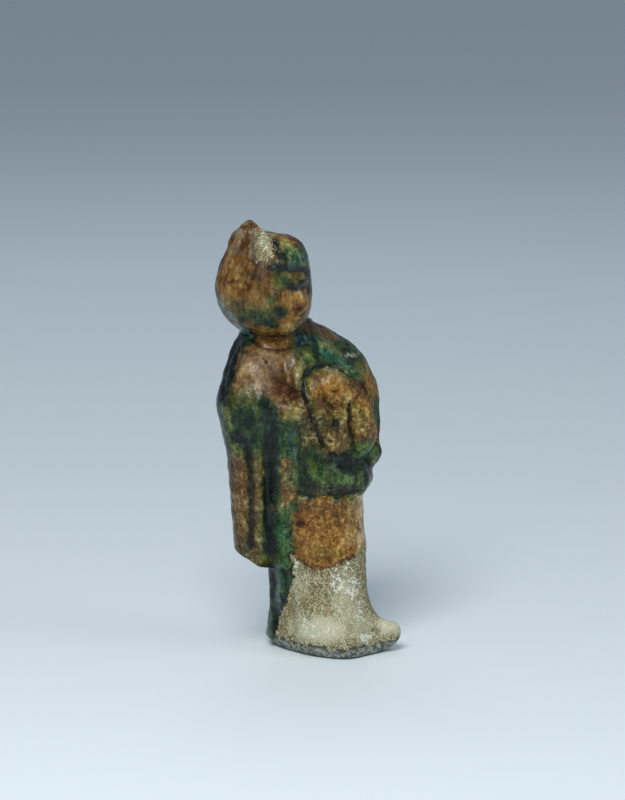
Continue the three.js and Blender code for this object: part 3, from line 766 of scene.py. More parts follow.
# What is seen in the photograph: glaze, strength, the points of a run in its pixels, half width. A spot
# has one point, then its half width and half height, and its turn in degrees if it has one. Later ones
# lie over earlier ones.
splashes = [
    # head
    ("toffee", 1, [(264, 281)], 60, 68),
    ("rust", 0.6, [(258, 275)], 34, 30),
    ("mud", 0.5, [(262, 290), (276, 286)], 7),
    ("amber", 0.35, [(250, 291)], 22, 17),
    ("amber", 0.4, [(234, 275)], 10, 24, 8),
    ("ember", 0.55, [(231, 281), (244, 282), (250, 289)], 1.8),
    ("mud", 0.8, [(255, 276)], 9, 6),
    ("ember", 0.4, [(256, 279)], 5, 3),
    ("umber", 0.85, [(250, 310)], 24, 10, 15),
    ("leaf", 0.5, [(229, 303), (240, 313), (256, 320)], 3),
    ("straw", 0.45, [(240, 268), (242, 286)], 2),
    ("straw", 0.4, [(234, 262), (233, 276)], 1.6),
    ("rust", 0.8, [(238, 238), (228, 252), (221, 268)], 3.2),
    ("ember", 0.6, [(239, 243), (230, 260), (227, 284)], 1.2),
    ("amber", 0.8, [(235, 243), (226, 262), (222, 284)], 1.2),
    ("ember", 0.6, [(233, 240), (224, 256), (219, 270)], 1.3),
    # painted highlights on the topknot, on its left side and top
    ("ash", 0.75, [(238, 250)], 7, 7, 25),
    ("ash", 0.9, [(238, 232)], 4.5, 5, 20),
    ("ash", 0.7, [(249, 222)], 8, 4),
    ("rust", 0.95, [(247, 229), (248, 238), (246, 248)], 4),
    ("ember", 0.75, [(243, 228), (250, 226), (256, 229)], 1.5),
    ("ember", 0.6, [(246, 222), (252, 220), (258, 226)], 1.2),
    ("ember", 0.6, [(243, 236), (244, 246), (242, 252)], 1.5),
    ("ash", 0.9, [(254, 232), (255, 244), (255, 256)], 5),
    ("mud", 0.7, [(262, 262), (268, 266)], 6),
    ("straw", 0.8, [(264, 236), (266, 250)], 6),
    ("teal", 0.8, [(271, 236), (275, 243)], 3),
    ("amber", 0.9, [(258, 229), (262, 231)], 2.4),
    ("toffee", 1, [(264, 230), (284, 235), (300, 243), (312, 258)], 5.6),
    ("amber", 0.8, [(273, 236), (290, 241), (303, 250)], 1.6),
    ("ember", 0.9, [(266, 230), (286, 235), (302, 245), (311, 259)], 1.6),
    ("ember", 0.6, [(274, 228), (292, 232), (306, 244)], 1),
    ("leaf", 0.8, [(284, 247)], 7, 6, 10),
    ("straw", 0.85, [(286, 245)], 8, 5, 15),
    ("umber", 0.8, [(298, 246), (308, 256)], 2.4),
    ("teal", 1, [(297, 258)], 13, 9, 20),
    ("bluish", 0.7, [(303, 257)], 6, 7),
    ("straw", 0.7, [(292, 250), (288, 261)], 1.8),
    ("straw", 0.7, [(296, 250), (301, 264)], 1.6),
    ("ink", 0.6, [(292, 256), (293, 265)], 0.9),
    ("bluish", 0.6, [(304, 262), (308, 254)], 1.6),
    ("ink", 1, [(274, 241), (278, 249), (280, 257), (275, 266)], 3),
    ("deepGreen", 0.6, [(284, 254), (286, 261)], 2.6),
    ("leaf", 0.9, [(282, 279)], 10, 10),
    ("straw", 0.7, [(285, 277)], 9, 6),
    ("teal", 0.7, [(279, 275), (284, 284)], 2),
    ("deepGreen", 0.75, [(287, 281)], 4, 4),
    ("ink", 1, [(271, 268), (282, 267), (294, 268), (305, 270)], 2.9),
    ("bluish", 0.7, [(288, 266), (298, 268)], 2.4),
    ("leaf", 0.8, [(296, 278)], 5, 4),
    # painted highlight beside the eye
    ("straw", 0.8, [(302, 277)], 3.4, 5),
    ("ink", 0.95, [(290, 287), (297, 288), (302, 284)], 4),
    ("ink", 0.8, [(308, 272), (312, 282), (309, 293)], 3),
    ("umber", 0.8, [(309, 268)], 3, 4),
    ("toffee", 0.5, [(310, 285), (310, 296)], 2),
    ("amber", 0.9, [(295, 311)], 17, 20),
    ("honey", 0.75, [(301, 298)], 7, 8),
    ("honey", 0.5, [(288, 300)], 6, 7),
    ("ember", 0.6, [(296, 307)], 5, 6, 20),
    ("rust", 0.6, [(305, 312), (303, 322)], 3),
    ("umber", 0.8, [(272, 299)], 9, 6),
    ("deepGreen", 0.7, [(270, 301)], 4, 3),
    ("leaf", 0.6, [(270, 309)], 8, 4, 10),
    ("deepGreen", 1, [(280, 312)], 6, 6, 20),
    ("green", 0.7, [(262, 318)], 15, 6, 15),
    ("deepGreen", 1, [(268, 322)], 9, 4.5, 10),
    ("ink", 1, [(242, 319)], 4, 3.2),
    ("gold", 0.6, [(252, 306)], 8, 5, 20),
    ("rust", 0.9, [(256, 328), (272, 334), (290, 333), (304, 325)], 2.6),
    ("straw", 0.5, [(250, 326), (270, 332), (290, 330)], 1),
    ("darkUmber", 0.85, [(216, 262), (215, 283), (219, 300)], 2.6),
    # painted reflection of the sky along the lower left of the head
    ("bluish", 0.6, [(217, 297), (225, 311), (238, 322)], 2),
    ("milk", 0.7, [(219, 299), (226, 311), (237, 321)], 2),
    # neck and chest
    ("toffee", 1, [(252, 339), (272, 345), (300, 338)], 8.5),
    # painted light: a lighter run that lifts the shade under the chin
    ("honey", 0.45, [(262, 338), (280, 342), (296, 337)], 4),
    ("rust", 0.75, [(258, 347), (276, 351), (290, 348)], 2.4),
    ("blush", 1, [(262, 376)], 38, 28),
    ("honey", 0.6, [(248, 380)], 16, 14),
    ("rust", 0.55, [(285, 376)], 12, 9, 35),
    ("ember", 0.5, [(254, 342), (263, 349), (276, 352), (290, 349)], 1.6),
    ("rust", 0.8, [(240, 346), (236, 360), (234, 378)], 3.4),
    ("ember", 0.7, [(286, 388)], 15, 9, 25),
    ("rust", 0.5, [(278, 382)], 9, 5, 30),
    ("ember", 1, [(296, 396)], 8, 7),
    ("ember", 0.7, [(284, 404), (283, 414)], 3.4),
    ("darkUmber", 0.8, [(266, 361)], 2.4, 1.6),
    ("darkUmber", 0.9, [(263, 393)], 2.4, 1.8),
    ("ember", 0.8, [(272, 394)], 1.8, 1.6),
    ("rust", 0.7, [(282, 374), (291, 384), (302, 390)], 1.5),
    ("rust", 0.55, [(274, 352), (284, 356)], 1.5),
    ("umber", 0.7, [(286, 359), (288, 367), (293, 374)], 1.2),
    ("umber", 0.7, [(291, 356), (296, 362), (296, 372)], 1.4),
    ("ash", 0.9, [(291, 364)], 2.8, 6),
    ("navy", 1, [(241, 337), (231, 357), (225, 378), (219, 404)], 9),
    ("rust", 0.9, [(240, 350), (237, 368)], 1.4),
    ("darkUmber", 0.6, [(235, 340), (224, 362), (219, 386)], 1.8),
    ("deepGreen", 0.95, [(243, 330), (249, 339)], 6),
    # painted reflection of the sky where the neck meets the shawl
    ("milk", 0.75, [(238, 324), (245, 331), (252, 337)], 2),
    ("ash", 0.8, [(296, 352)], 4.6, 4),
    ("straw", 0.85, [(302, 361), (298, 374), (300, 387)], 3.4),
    ("leaf", 0.7, [(305, 356), (308, 364)], 3.6),
    # left shoulder and sleeve
    ("green", 1, [(334, 352)], 40, 26, 25),
    ("teal", 0.75, [(330, 355)], 17, 8, 25),
    ("bluish", 0.95, [(299, 339)], 6, 8),
    ("bluish", 0.85, [(309, 343)], 7, 8, 20),
    ("deepGreen", 0.8, [(315, 350)], 5, 7),
    ("straw", 0.75, [(325, 344), (335, 353)], 6),
    ("leaf", 0.7, [(322, 336), (330, 334)], 3),
    ("brightGreen", 0.6, [(341, 346)], 6, 5, 25),
    ("leaf", 0.7, [(342, 348)], 5, 4),
    ("leaf", 0.75, [(304, 349), (312, 362)], 3),
    ("rust", 1, [(304, 326), (320, 331), (334, 338)], 4.2),
    ("ember", 0.6, [(306, 322), (322, 327)], 1.8),
    ("ink", 0.85, [(341, 337), (348, 350)], 2),
    ("ash", 0.85, [(342, 355), (350, 355), (357, 354)], 2.6),
    ("teal", 1, [(326, 356), (341, 366), (357, 380)], 6),
    ("deepGreen", 0.6, [(348, 361), (360, 377)], 2),
    ("amber", 0.8, [(363, 368), (371, 388), (374, 402)], 7),
    ("leaf", 0.85, [(359, 365), (363, 374)], 3.4),
    ("amber", 0.75, [(366, 374), (370, 386)], 2.4),
    ("leaf", 0.5, [(366, 392), (372, 400)], 3),
    ("green", 0.85, [(376, 404), (378, 420)], 4),
    # dark glaze in the crease round the bundle, deepened with painted shade
    ("deepGreen", 0.9,
     [(303, 392), (304, 378), (309, 369), (319, 364), (333, 366), (347, 373), (361, 385)], 3.2),
    ("deepGreen", 0.7, [(309, 372), (306, 384)], 4),
    # right arm, sleeve and the folds under it
    ("green", 1, [(290, 446)], 17, 34),
    ("green", 1, [(246, 428)], 25, 32),
    ("leaf", 0.7, [(234, 398), (246, 404), (258, 398)], 4),
    ("gold", 0.55, [(256, 408), (261, 422)], 4),
    ("gold", 0.7, [(263, 398), (272, 404)], 3),
    ("deepGreen", 0.75, [(239, 417)], 9, 13),
    ("deepGreen", 0.6, [(254, 430)], 8, 16),
    ("straw", 0.95, [(294, 412)], 10, 8),
    ("gold", 0.7, [(287, 415)], 5, 6),
    ("brightGreen", 0.7, [(279, 430), (280, 452)], 4),
    ("bluish", 0.7, [(293, 430), (294, 462)], 5),
    ("leaf", 0.75, [(227, 409), (231, 428), (235, 446)], 3),
    # painted reflection of the sky along the left edge of the sleeve
    ("skyBlue", 0.5, [(222, 402), (225, 426)], 1.4),
    ("ink", 1, [(236, 436), (243, 444)], 6),
    ("mud", 1, [(233, 460), (235, 500), (236, 545)], 7),
    ("rust", 0.6, [(234, 470), (236, 545)], 2.6),
    ("rust", 0.9, [(241, 458), (242, 500), (242, 545)], 4),
    ("leaf", 0.7, [(239, 450), (246, 456), (248, 480), (247, 540)], 2),
    ("darkUmber", 0.7, [(246, 448), (251, 464), (252, 510), (251, 546)], 4),
    ("umber", 0.95, [(260, 455), (260.5, 500), (261, 556)], 5.5),
    ("rust", 0.6, [(259, 458), (259, 500)], 2.6),
    ("straw", 0.45, [(260, 462), (261, 548)], 4.5),
    ("leaf", 0.5, [(259, 452), (259, 470)], 4),
    ("umber", 0.9, [(236, 546), (250, 556), (262, 562)], 4),
    ("leaf", 0.7, [(262, 560), (274, 561)], 2.6),
    ("rust", 1, [(286, 464), (288, 502)], 8.5),
    ("amber", 0.6, [(284, 462), (284, 480)], 2.4),
    ("rust", 0.8, [(298, 470), (298, 504)], 6),
    ("green", 0.7, [(292, 507), (300, 500)], 5),
    ("ember", 0.7, [(290, 478)], 2.4, 3),
    ("umber", 1, [(309, 437)], 13, 20),
    ("ember", 0.6, [(309, 444)], 6, 8),
    ("leaf", 0.5, [(303, 428), (304, 448)], 2),
    # dark green glaze pooled in the deep groove beside the hanging sleeve, deepened with painted shade
    ("deepGreen", 1,
     [(263, 404), (269, 415), (271, 432), (272, 452), (272, 480), (271.5, 507), (270, 547)], 8),
    ("ink", 0.5, [(269, 412), (272, 432), (273, 470), (270.5, 547)], 6),
    ("rust", 0.5, [(272, 508)], 7, 6),
    ("leaf", 0.85, [(258, 557), (268, 558), (276, 558)], 3),
    ("green", 0.9, [(280, 548), (280, 562)], 4.5),
    ("green", 0.5, [(278, 466), (278, 505)], 1.6),
    # bundle and the cloth under it
    ("gold", 1, [(331, 412)], 26, 42, -10),
    ("amber", 0.85, [(329, 389)], 23, 17),
    ("rust", 0.6, [(326, 404)], 18, 10),
    ("blush", 0.9, [(315, 382)], 4, 8, 15),
    # painted highlight on top of the bundle
    ("straw", 0.95, [(325, 370)], 6, 2.6, 8),
    ("honey", 0.8, [(338, 376)], 8, 4, 30),
    ("leaf", 0.7, [(308, 379), (309, 398), (314, 412)], 2.4),
    ("rust", 0.95, [(352, 383), (362, 392), (367, 402)], 5),
    ("ember", 0.5, [(354, 381), (364, 391)], 2),
    ("umber", 0.6, [(327, 424)], 13, 12),
    ("gold", 0.8, [(326, 440)], 8, 8),
    ("mud", 0.6, [(341, 432)], 6, 14),
    ("gold", 0.95, [(362, 420)], 9, 18),
    ("straw", 0.5, [(358, 406), (357, 420), (360, 430)], 1.8),
    ("amber", 0.8, [(364, 403)], 6, 6),
    ("rust", 0.7, [(366, 424)], 4, 6),
    ("straw", 0.7, [(346, 398), (346, 420), (348, 440)], 1.5),
    ("umber", 0.7, [(356, 422), (362, 428), (369, 421)], 1),
    ("umber", 0.6, [(358, 412), (364, 419), (363, 428)], 1),
    ("ink", 1, [(335, 422)], 3.6, 3.4),
    ("ink", 0.9, [(321, 420)], 2, 2),
    ("darkUmber", 0.9, [(328, 441)], 3, 2.4),
    ("ember", 0.85, [(334, 391)], 3, 3.2),
    ("ember", 0.8, [(323, 401)], 2.6, 2),
    ("ember", 0.7, [(330, 412)], 3, 2),
    ("darkUmber", 0.7, [(329, 405), (333, 407)], 1.4),
    ("darkUmber", 0.7, [(326, 432)], 1.6, 1.6),
    ("ember", 0.6, [(343, 401)], 2, 1.6),
    ("ember", 0.6, [(340, 412)], 1.6, 1.4),
    # dark glaze in the crease down the bundle's left, deepened with painted shade
    ("darkUmber", 0.8, [(304, 392), (306, 404), (311.5, 415), (317, 430), (323, 446)], 2.8),
    ("mud", 0.9, [(300, 396), (303, 408), (309, 425), (316, 444)], 1.8),
    ("umber", 1, [(305, 427), (310, 446)], 8),
    ("leaf", 0.4, [(302, 424), (305, 446)], 3),
    # dark glaze in the fold of the bundle, deepened with painted shade
    ("darkUmber", 0.8, [(349.7, 402), (349.7, 421), (351, 435), (354, 448)], 2.2),
    ("green", 1, [(336, 476)], 46, 19),
    ("green", 1, [(364, 452)], 16, 11),
    ("green", 0.9, [(313, 457)], 9, 9),
    ("leaf", 0.45, [(322, 466)], 14, 4, 10),
    ("leaf", 0.4, [(362, 448)], 8, 4),
    ("teal", 0.6, [(360, 456), (372, 450)], 3),
    # Dark line under the bundle and dark band under the roll of cloth: glaze pooled there, deepened with
    # painted shade
    ("ink", 1, [(330, 454), (344, 457), (357, 462), (372, 467)], 3.2),
    ("deepGreen", 0.8, [(328, 461), (344, 466)], 4),
    ("deepGreen", 1, [(304, 487), (331, 492), (356, 489)], 6),
    ("ink", 0.9, [(331, 490)], 10, 4),
    ("ink", 0.8, [(316, 484), (324, 489)], 2.6),
    ("ink", 0.8, [(346, 486), (352, 489)], 3),
    ("ink", 0.6, [(304, 470), (308, 480)], 2.6),
    ("navy", 0.6, [(306, 488), (331, 492), (354, 489)], 3.4),
    ("deepGreen", 0.8, [(343, 470), (352, 474)], 3),
    # painted shadow under the end of the roll
    ("ink", 0.8, [(368, 470), (366, 484)], 5),
    # skirt
    ("amber", 1, [(326, 532)], 44, 42),
    ("rust", 0.5, [(332, 506)], 42, 9),
    ("toffee", 0.5, [(330, 522)], 30, 10),
    ("deepGreen", 0.7, [(300, 492), (312, 497)], 3),
    ("deepGreen", 0.8, [(334, 494), (335, 499)], 3.4),
    ("green", 0.7, [(350, 490), (352, 497)], 3),
    ("leaf", 0.6, [(345, 499), (364, 496)], 2.4),
    ("green", 0.75, [(294, 506)], 5, 6),
    ("ember", 0.8, [(296, 523), (302, 525)], 2.2),
    ("ember", 0.7, [(338, 515)], 2, 1.6),
    ("ember", 0.6, [(337, 527)], 2, 1.5),
    ("honey", 0.35, [(302, 540), (316, 548)], 6),
    ("gold", 0.45, [(326, 553)], 20, 8),
    ("honey", 0.4, [(348, 540)], 8, 8),
    # painted light on the right side of the skirt
    ("sand", 0.5, [(353, 507), (354, 540)], 8),
    ("rust", 0.75, [(300, 558), (316, 569), (334, 567), (346, 560)], 2.2),
    ("ember", 0.95, [(344, 562), (353, 556)], 2.4),
    ("sand", 0.95, [(363, 500), (364, 552)], 8),
    ("ember", 0.6, [(357, 522), (358, 530)], 1.2),
    ("green", 0.95, [(284, 512), (286, 530), (287, 550)], 6.5),
    ("brightGreen", 1, [(280, 522), (281, 534), (283, 546)], 5),
    ("brightGreen", 0.9, [(285, 560), (287, 572), (286, 586)], 4),
    ("deepGreen", 0.85, [(291, 552), (292, 576), (289, 592)], 2.4),
    ("leaf", 0.5, [(287, 568), (284, 590)], 1.2),
    ("deepGreen", 1, [(273, 568), (272, 600), (270, 642)], 7),
    ("ink", 0.7, [(275, 566), (274, 600), (272, 636)], 3.4),
    ("teal", 0.8, [(280, 566), (279, 588), (277, 606)], 2.4),
    ("ink", 1, [(273, 580), (273, 610)], 1.8),
    ("ink", 1, [(282, 596), (281, 610), (276, 622)], 2.6),
    # painted reflection of the sky in the dark strip down the hem
    ("skyBlue", 0.6, [(271, 600), (270, 616)], 1.2),
    ("green", 0.7, [(272, 618), (272, 636)], 2),
]


# The 0 to 255 of a colour picker as amounts of light
def decimals(colour):
    share = np.array(colour, float) / 255
    return np.where(share < 0.04045, share / 12.92, ((share + 0.055) / 1.055) ** 2.4)


# How much of the light a glaze takes: it adds up where glazes run into one another
def takenBy(name):
    return -np.log(decimals(glazes[name]) / decimals(slip))


# Edges of glaze wander: sizes in units, and how far they carry an edge in the picture's pixels, in degrees
# around the figure and in units of height
wander = {
    "wobble": {"size": 15, "pixels": 3, "degrees": 9, "height": 12},
    "ripple": {"size": 5, "pixels": 1.5, "degrees": 7},
    "flow": {"size": 46, "upright": 0.3, "degrees": 34},
    "drips": {"size": 15, "upright": 0.1, "height": 60},
}


def wandering(name, *seeds):
    s = wander[name]
    return [noiseAt(points * (1, 1, s.get("upright", 1)), s["size"], seed) for seed in seeds]


n = skin.normals()
points = skin.clayPoints()
u, v = pictureOf(skin.co)
unitsPerPixel = cameraSettings["pixel"] / 1000 / unit
wobble = wandering("wobble", 11, 12)
ripple = wandering("ripple", 13, 14)
u = u + wander["wobble"]["pixels"] * wobble[0] + wander["ripple"]["pixels"] * ripple[0]
v = v + wander["wobble"]["pixels"] * wobble[1] + wander["ripple"]["pixels"] * ripple[1]

# Angles in degrees from the front, and heights, for the sides that the photograph doesn't show
spineAcross, spineBack = spineAt(points[:, 2])
plainAround = np.degrees(np.arctan2(points[:, 0] - spineAcross, spineBack - points[:, 1]))
flow, drips = wandering("flow", 15)[0], wandering("drips", 16)[0]
around = plainAround + wander["flow"]["degrees"] * flow
around = around + wander["wobble"]["degrees"] * wobble[0] + wander["ripple"]["degrees"] * ripple[0]
height = points[:, 2] + wander["drips"]["height"] * drips + wander["wobble"]["height"] * wobble[1]

tint = np.tile(takenBy("toffee"), (len(points), 1))


# Lays a glaze over what is there
def lay(name, amount):
    tint[:] += (takenBy(name) - tint) * np.clip(amount, 0, 1)[:, None]


def turned(angle, middle):
    return (angle - middle + 180) % 360 - 180


# Runs on those sides: glaze, strength, angle, half width in degrees, heights of top and foot
backRuns = [
    ("amber", 0.85, 180, 60, 640, 90),
    ("deepGreen", 0.95, -130, 32, 760, 0),
    ("bluish", 0.8, -112, 20, 330, -40),
    ("green", 0.95, 152, 20, 730, 400),
    ("leaf", 0.7, 168, 12, 660, 500),
    ("deepGreen", 0.95, 172, 10, 560, 190),
    ("green", 0.9, 110, 17, 600, 270),
    ("brightGreen", 0.7, 114, 8, 480, 300),
    ("green", 0.9, -165, 12, 500, 240),
    ("straw", 0.6, 132, 14, 420, 240),
    ("rust", 0.8, 92, 22, 420, 180),
    ("green", 0.95, 72, 15, 560, 380),
    ("ink", 0.85, 160, 44, 780, 720),
    ("umber", 0.8, 150, 60, 860, 790),
    ("rust", 0.8, 172, 44, 940, 850),
    ("deepGreen", 0.85, 122, 20, 870, 760),
    ("leaf", 0.7, 96, 14, 900, 820),
]
backFade = {"sides": (0.75, 1.2), "foot": 14, "top": 25}
for name, strength, middle, halfWidth, top, foot in backRuns:
    beside = 1 - smooth(np.abs(turned(around, middle)) / halfWidth, *backFade["sides"])
    aboveFoot = smooth(height, foot - backFade["foot"], foot + backFade["foot"])
    belowTop = 1 - smooth(height, top - backFade["top"], top + backFade["top"])
    lay(name, strength * beside * aboveFoot * belowTop)


# How far points of the picture are from the middle of a run or a spot, in its half widths
def splashGap(run, halfWidth, halfHeight=0, turn=0):
    if len(run) > 1:
        return besideRun(u, v, run)[0] / halfWidth
    c, s = math.cos(math.radians(turn)), math.sin(math.radians(turn))
    across, down = u - run[0][0], v - run[0][1]
    return np.hypot((across * c + down * s) / halfWidth, (down * c - across * s) / halfHeight)


thinRun = 3  # pixels of half width; what is thinner has a firmer edge
thinFade, broadFade = (0.7, 1.25), (0.45, 1.45)  # where an edge begins to fade and ends, in half widths
seen = facing(n, **photoSide, low=-0.25, high=0.03)
for name, strength, *shape in splashes:
    fade = thinFade if shape[1] < thinRun else broadFade
    lay(name, strength * seen * (1 - smooth(splashGap(*shape), *fade)))

# Bare clay below the glaze: its outline in the picture, and elsewhere the height of its edge in mm by
# angle from the front
bareOutline = [
    (268, 670), (275, 637), (279, 618), (286, 606), (290, 592), (294, 578), (291, 552), (298, 560),
    (306, 567), (318, 571), (335, 568), (346, 561), (356, 556), (361, 549), (385, 538), (430, 600),
    (430, 670),
]
glazeEdge = [
    (-180, 15), (-160, 9), (-140, 3), (-128, -3), (-114, -2), (-80, 15), (-60, 24), (-15, 26),
    (25, 29), (50, 25), (66, 18), (84, 23), (105, 19), (122, 11), (138, 18), (160, 21), (180, 15),
]
bareTop = 300  # units above the floor; higher up only a patch is bare
covered = -50  # units, a depth well inside the glaze
knotOutline = [  # a worn patch on the topknot
    (251, 234), (257, 229), (266, 230), (272, 236), (276, 247), (275, 255), (269, 261), (262, 266),
    (256, 263), (252, 254), (250, 244),
]
edgeAngles, edgeHeights = zip(*glazeEdge)
edge = np.interp(plainAround, edgeAngles, edgeHeights) / 1000 / unit
bareBelow = edge - points[:, 2] + 45 * drips + 9 * wobble[0] + 5 * ripple[0]  # above zero is bare
bareSeen = depthInside(u, v, bareOutline) * unitsPerPixel
bareDepth = np.where(points[:, 2] < bareTop, bareBelow * (1 - seen) + bareSeen * seen, covered)
knotDepth = depthInside(u, v, knotOutline) * unitsPerPixel
bare = smooth(bareDepth, -4, 4)
wornKnot = np.where(seen > 0.3, knotDepth, covered) + 14 * ripple[1]
bare = np.maximum(bare, (0.47 + 0.16 * smooth(u, 252, 262)) * smooth(wornKnot, -8, 8))  # barer on its right

# Pale clay, crisp chalk and dirt: middle and radii in pixels, strength
paleSpots = [
    (321, 630, 30, 15, 1),
    (390, 624, 16, 13, 1),
    (300, 622, 14, 10, 0.5),
    (346, 602, 16, 34, 0.6),
    (362, 628, 14, 16, 0.6),
    (300, 585, 12, 20, 0.25),
    (266, 242, 8, 12, 0.3),
]
chalkySpots = [
    (350, 356, 8, 3, 0.62),
    # painted highlight on top of the bundle
    (326, 369, 5, 2.5, 0.5),
    (337, 582, 8, 14, 0.68),
    (348, 566, 6, 6, 0.66),
    (352, 588, 9, 17, 0.6),
    (295, 563, 4, 3.5, 0.8),
    (365, 637, 6, 5, 0.9),
    (321, 629, 24, 12, 0.42),
    (388, 624, 11, 9, 0.4),
    (305, 621, 5, 4, 0.6),
    (358, 612, 9, 14, 0.4),
    (265, 242, 8, 12, 0.34),
]
dirtySpots = [
    (375, 630, 8, 3.5, 0.5),
    (330, 578, 8, 9, 0.36),
    (318, 596, 24, 10, 0.28),
    (262, 263, 3, 2.5, 1),
    (254, 248, 3.5, 12, 0.5),
    (267, 258, 6, 4, 0.4),
    (274, 240, 3, 5, 0.4),
]


# The strongest of the spots at each point
def spots(places):
    out = np.zeros(len(points))
    for x, y, radiusX, radiusY, amount in places:
        gap = np.hypot((u - x) / radiusX, (v - y) / radiusY)
        out = np.maximum(out, amount * seen * (1 - smooth(gap, 0.45, 1.3)))
    return out


patchSize = 40  # units, on the sides that the photograph doesn't show
patches = smooth(noiseAt(points, patchSize, 21), 0.05, 0.4) * (1 - seen)
pale = np.maximum(spots(paleSpots), 0.8 * patches)
chalk = np.maximum(spots(chalkySpots), 0.45 * patches)

# The worn rim ends about 27 units above the floor, with a dark band along it, and the clay is darker towards
# the floor
rimLine = 27 + 5 * wobble[0] + 3 * ripple[0]
dirt = np.maximum(spots(dirtySpots), bell(points[:, 2] - rimLine, 4.5) * (0.72 + 1.2 * wobble[1]))
dirt = np.maximum(dirt, 1 - smooth(points[:, 2], 2, 6))
rim = 1 - smooth(points[:, 2] - rimLine, -5, 1)

# Glaze stands a little proud of the bare clay, and is thickest along its lower edge, in units
glazeDepth = {"cover": 1.8, "bead": 1.5, "beadWidth": 7}
glazeCover = smooth(-bareDepth, -3, 3)
bead = bell(bareDepth + glazeDepth["beadWidth"], glazeDepth["beadWidth"])
thickness = glazeDepth["cover"] * glazeCover + glazeDepth["bead"] * bead
skin.co += n * (thickness * upright * unit)[:, None]
skin.relax(0.3)
skin.co[:, 2] = np.maximum(skin.co[:, 2], 0)

# Glaze pools in hollows: shares of the fine and the wide ones, how often the wide ones are evened out, and
# what counts as full
pooling = {"fine": 0.5, "wide": 0.9, "evenings": 14, "full": 2.2}
bent = ((skin.spread(skin.co) - skin.co) * n).sum(1, keepdims=True)
fineHollow = skin.spread(skin.spread(bent))
wideHollow = fineHollow
for _ in range(pooling["evenings"]):
    wideHollow = skin.spread(wideHollow)
pool = pooling["fine"] * fineHollow / fineHollow.std() + pooling["wide"] * wideHollow / wideHollow.std()
pool = np.clip(pool[:, 0] / pooling["full"], -1, 1)

# Glaze worn matt where the bundle rubs against the arm
rubbed = [(333, 362), (348, 369), (361, 380), (372, 393), (378, 412), (379, 440), (376, 458)]
dull = (1 - smooth(besideRun(u, v, rubbed)[0], 3, 8)) * (1 - facing(n, **photoSide, low=0.2, high=0.5))


# Keeps values on the mesh, where the material reads them
def keep(name, values):
    kind, field = ("FLOAT", "value") if values.ndim == 1 else ("FLOAT_VECTOR", "vector")
    attribute = figure.data.attributes.new(name, kind, "POINT")
    attribute.data.foreach_set(field, values.astype(np.float32).ravel())


sandy = 1 - 0.8 * smooth(points[:, 2], 560, 720)  # the glaze is smoother higher up, and on the right arm
sandy = sandy * (1 - 0.45 * seen * (1 - smooth(u, 286, 306)))
skin.write()
laid = {
    "taken": tint,
    "bare": bare,
    "pale": pale,
    "chalk": chalk,
    "dirt": dirt,
    "rim": rim,
    "pool": pool,
    "dull": dull,
    "sandy": sandy,
}
for name, values in laid.items():
    keep(name, values)
print("glaze laid")


# A value in a material: sums and products of it add the nodes
class Value:
    def __init__(self, material, socket):
        self.material = material
        self.socket = socket

    def __add__(self, other):
        return self.material.math("ADD", self, other)

    def __radd__(self, other):
        return self.material.math("ADD", other, self)

    def __sub__(self, other):
        return self.material.math("SUBTRACT", self, other)

    def __rsub__(self, other):
        return self.material.math("SUBTRACT", other, self)

    def __mul__(self, other):
        return self.material.math("MULTIPLY", self, other)

    def __rmul__(self, other):
        return self.material.math("MULTIPLY", other, self)


class Finish:
    def __init__(self, name):
        self.data = bpy.data.materials.new(name)
        self.data.use_nodes = True
        self.tree = self.data.node_tree
        self.tree.nodes.clear()

    # Any node: its settings first, then its sockets in order, by number or by name
    def node(self, kind, settings=None, *values, out=0, places=None, **named):
        made = self.tree.nodes.new(kind)
        for key, value in (settings or {}).items():
            setattr(made, key, value)
        for key, value in [*enumerate(values), *(places or {}).items(), *named.items()]:
            target = made.inputs[key if isinstance(key, int) else key.replace("_", " ")]
            if isinstance(value, Value):
                self.tree.links.new(value.socket, target)
            else:
                target.default_value = value
        return Value(self, made.outputs[out]) if made.outputs else None

    def math(self, operation, *values):
        return self.node("ShaderNodeMath", {"operation": operation}, *values)

    def attribute(self, name, out=2):
        return self.node("ShaderNodeAttribute", {"attribute_name": name}, out=out)

    def smooth(self, value, low, high):
        settings = {"interpolation_type": "SMOOTHSTEP"}
        return self.node("ShaderNodeMapRange", settings, value, low, high, 0.0, 1.0)

    def mix(self, share, a, b):
        return self.node("ShaderNodeMix", {"data_type": "RGBA"}, out=2, places={0: share, 6: a, 7: b})

    # Noise with blobs of about that many mm
    def noise(self, size, detail, roughness, stretch=None):
        place = self.node("ShaderNodeTexCoord", out=3)
        if stretch:
            place = self.node("ShaderNodeMapping", None, place, Scale=stretch)
        shape = {"Scale": 1000 / size, "Detail": detail, "Roughness": roughness}
        return self.node("ShaderNodeTexNoise", {"noise_dimensions": "3D"}, place, **shape)

    # Cells of about that many mm: how far from their middles, or from their edges
    def cells(self, size, feature="F1"):
        place = self.node("ShaderNodeTexCoord", out=3)
        return self.node("ShaderNodeTexVoronoi", {"feature": feature}, place, Scale=1000 / size)


# Sizes in mm of what varies in the glaze and the clay
grains = {
    "broad": 4.5,
    "mottle": 1.3,
    "fine": 0.5,
    "grain": 0.22,
    "runs": 1.1,
    "pits": 1.3,
    "pitPatches": 2.2,
    "bubbleGlints": 0.9,
    "bubbleGlintPatches": 2.6,
    "brown": 0.48,
    "crackle": 1.6,
}
# What shows through or beside the glazes, in the 0 to 255 of a colour picker
bodyColours = {
    # pale dots: milky bubbles, and painted glints
    "bubbleGlint": (176, 188, 176),
    "wornGlaze": (172, 164, 140),
    "darkClay": (112, 102, 70),
    "lightClay": (198, 194, 160),
    "tanClay": (132, 116, 82),
    "paleClay": (202, 202, 174),
    "brownClay": (92, 74, 46),
    "chalk": (220, 222, 206),
    "darkRim": (80, 90, 90),
    "lightRim": (166, 170, 156),
    "soot": (58, 66, 64),
}
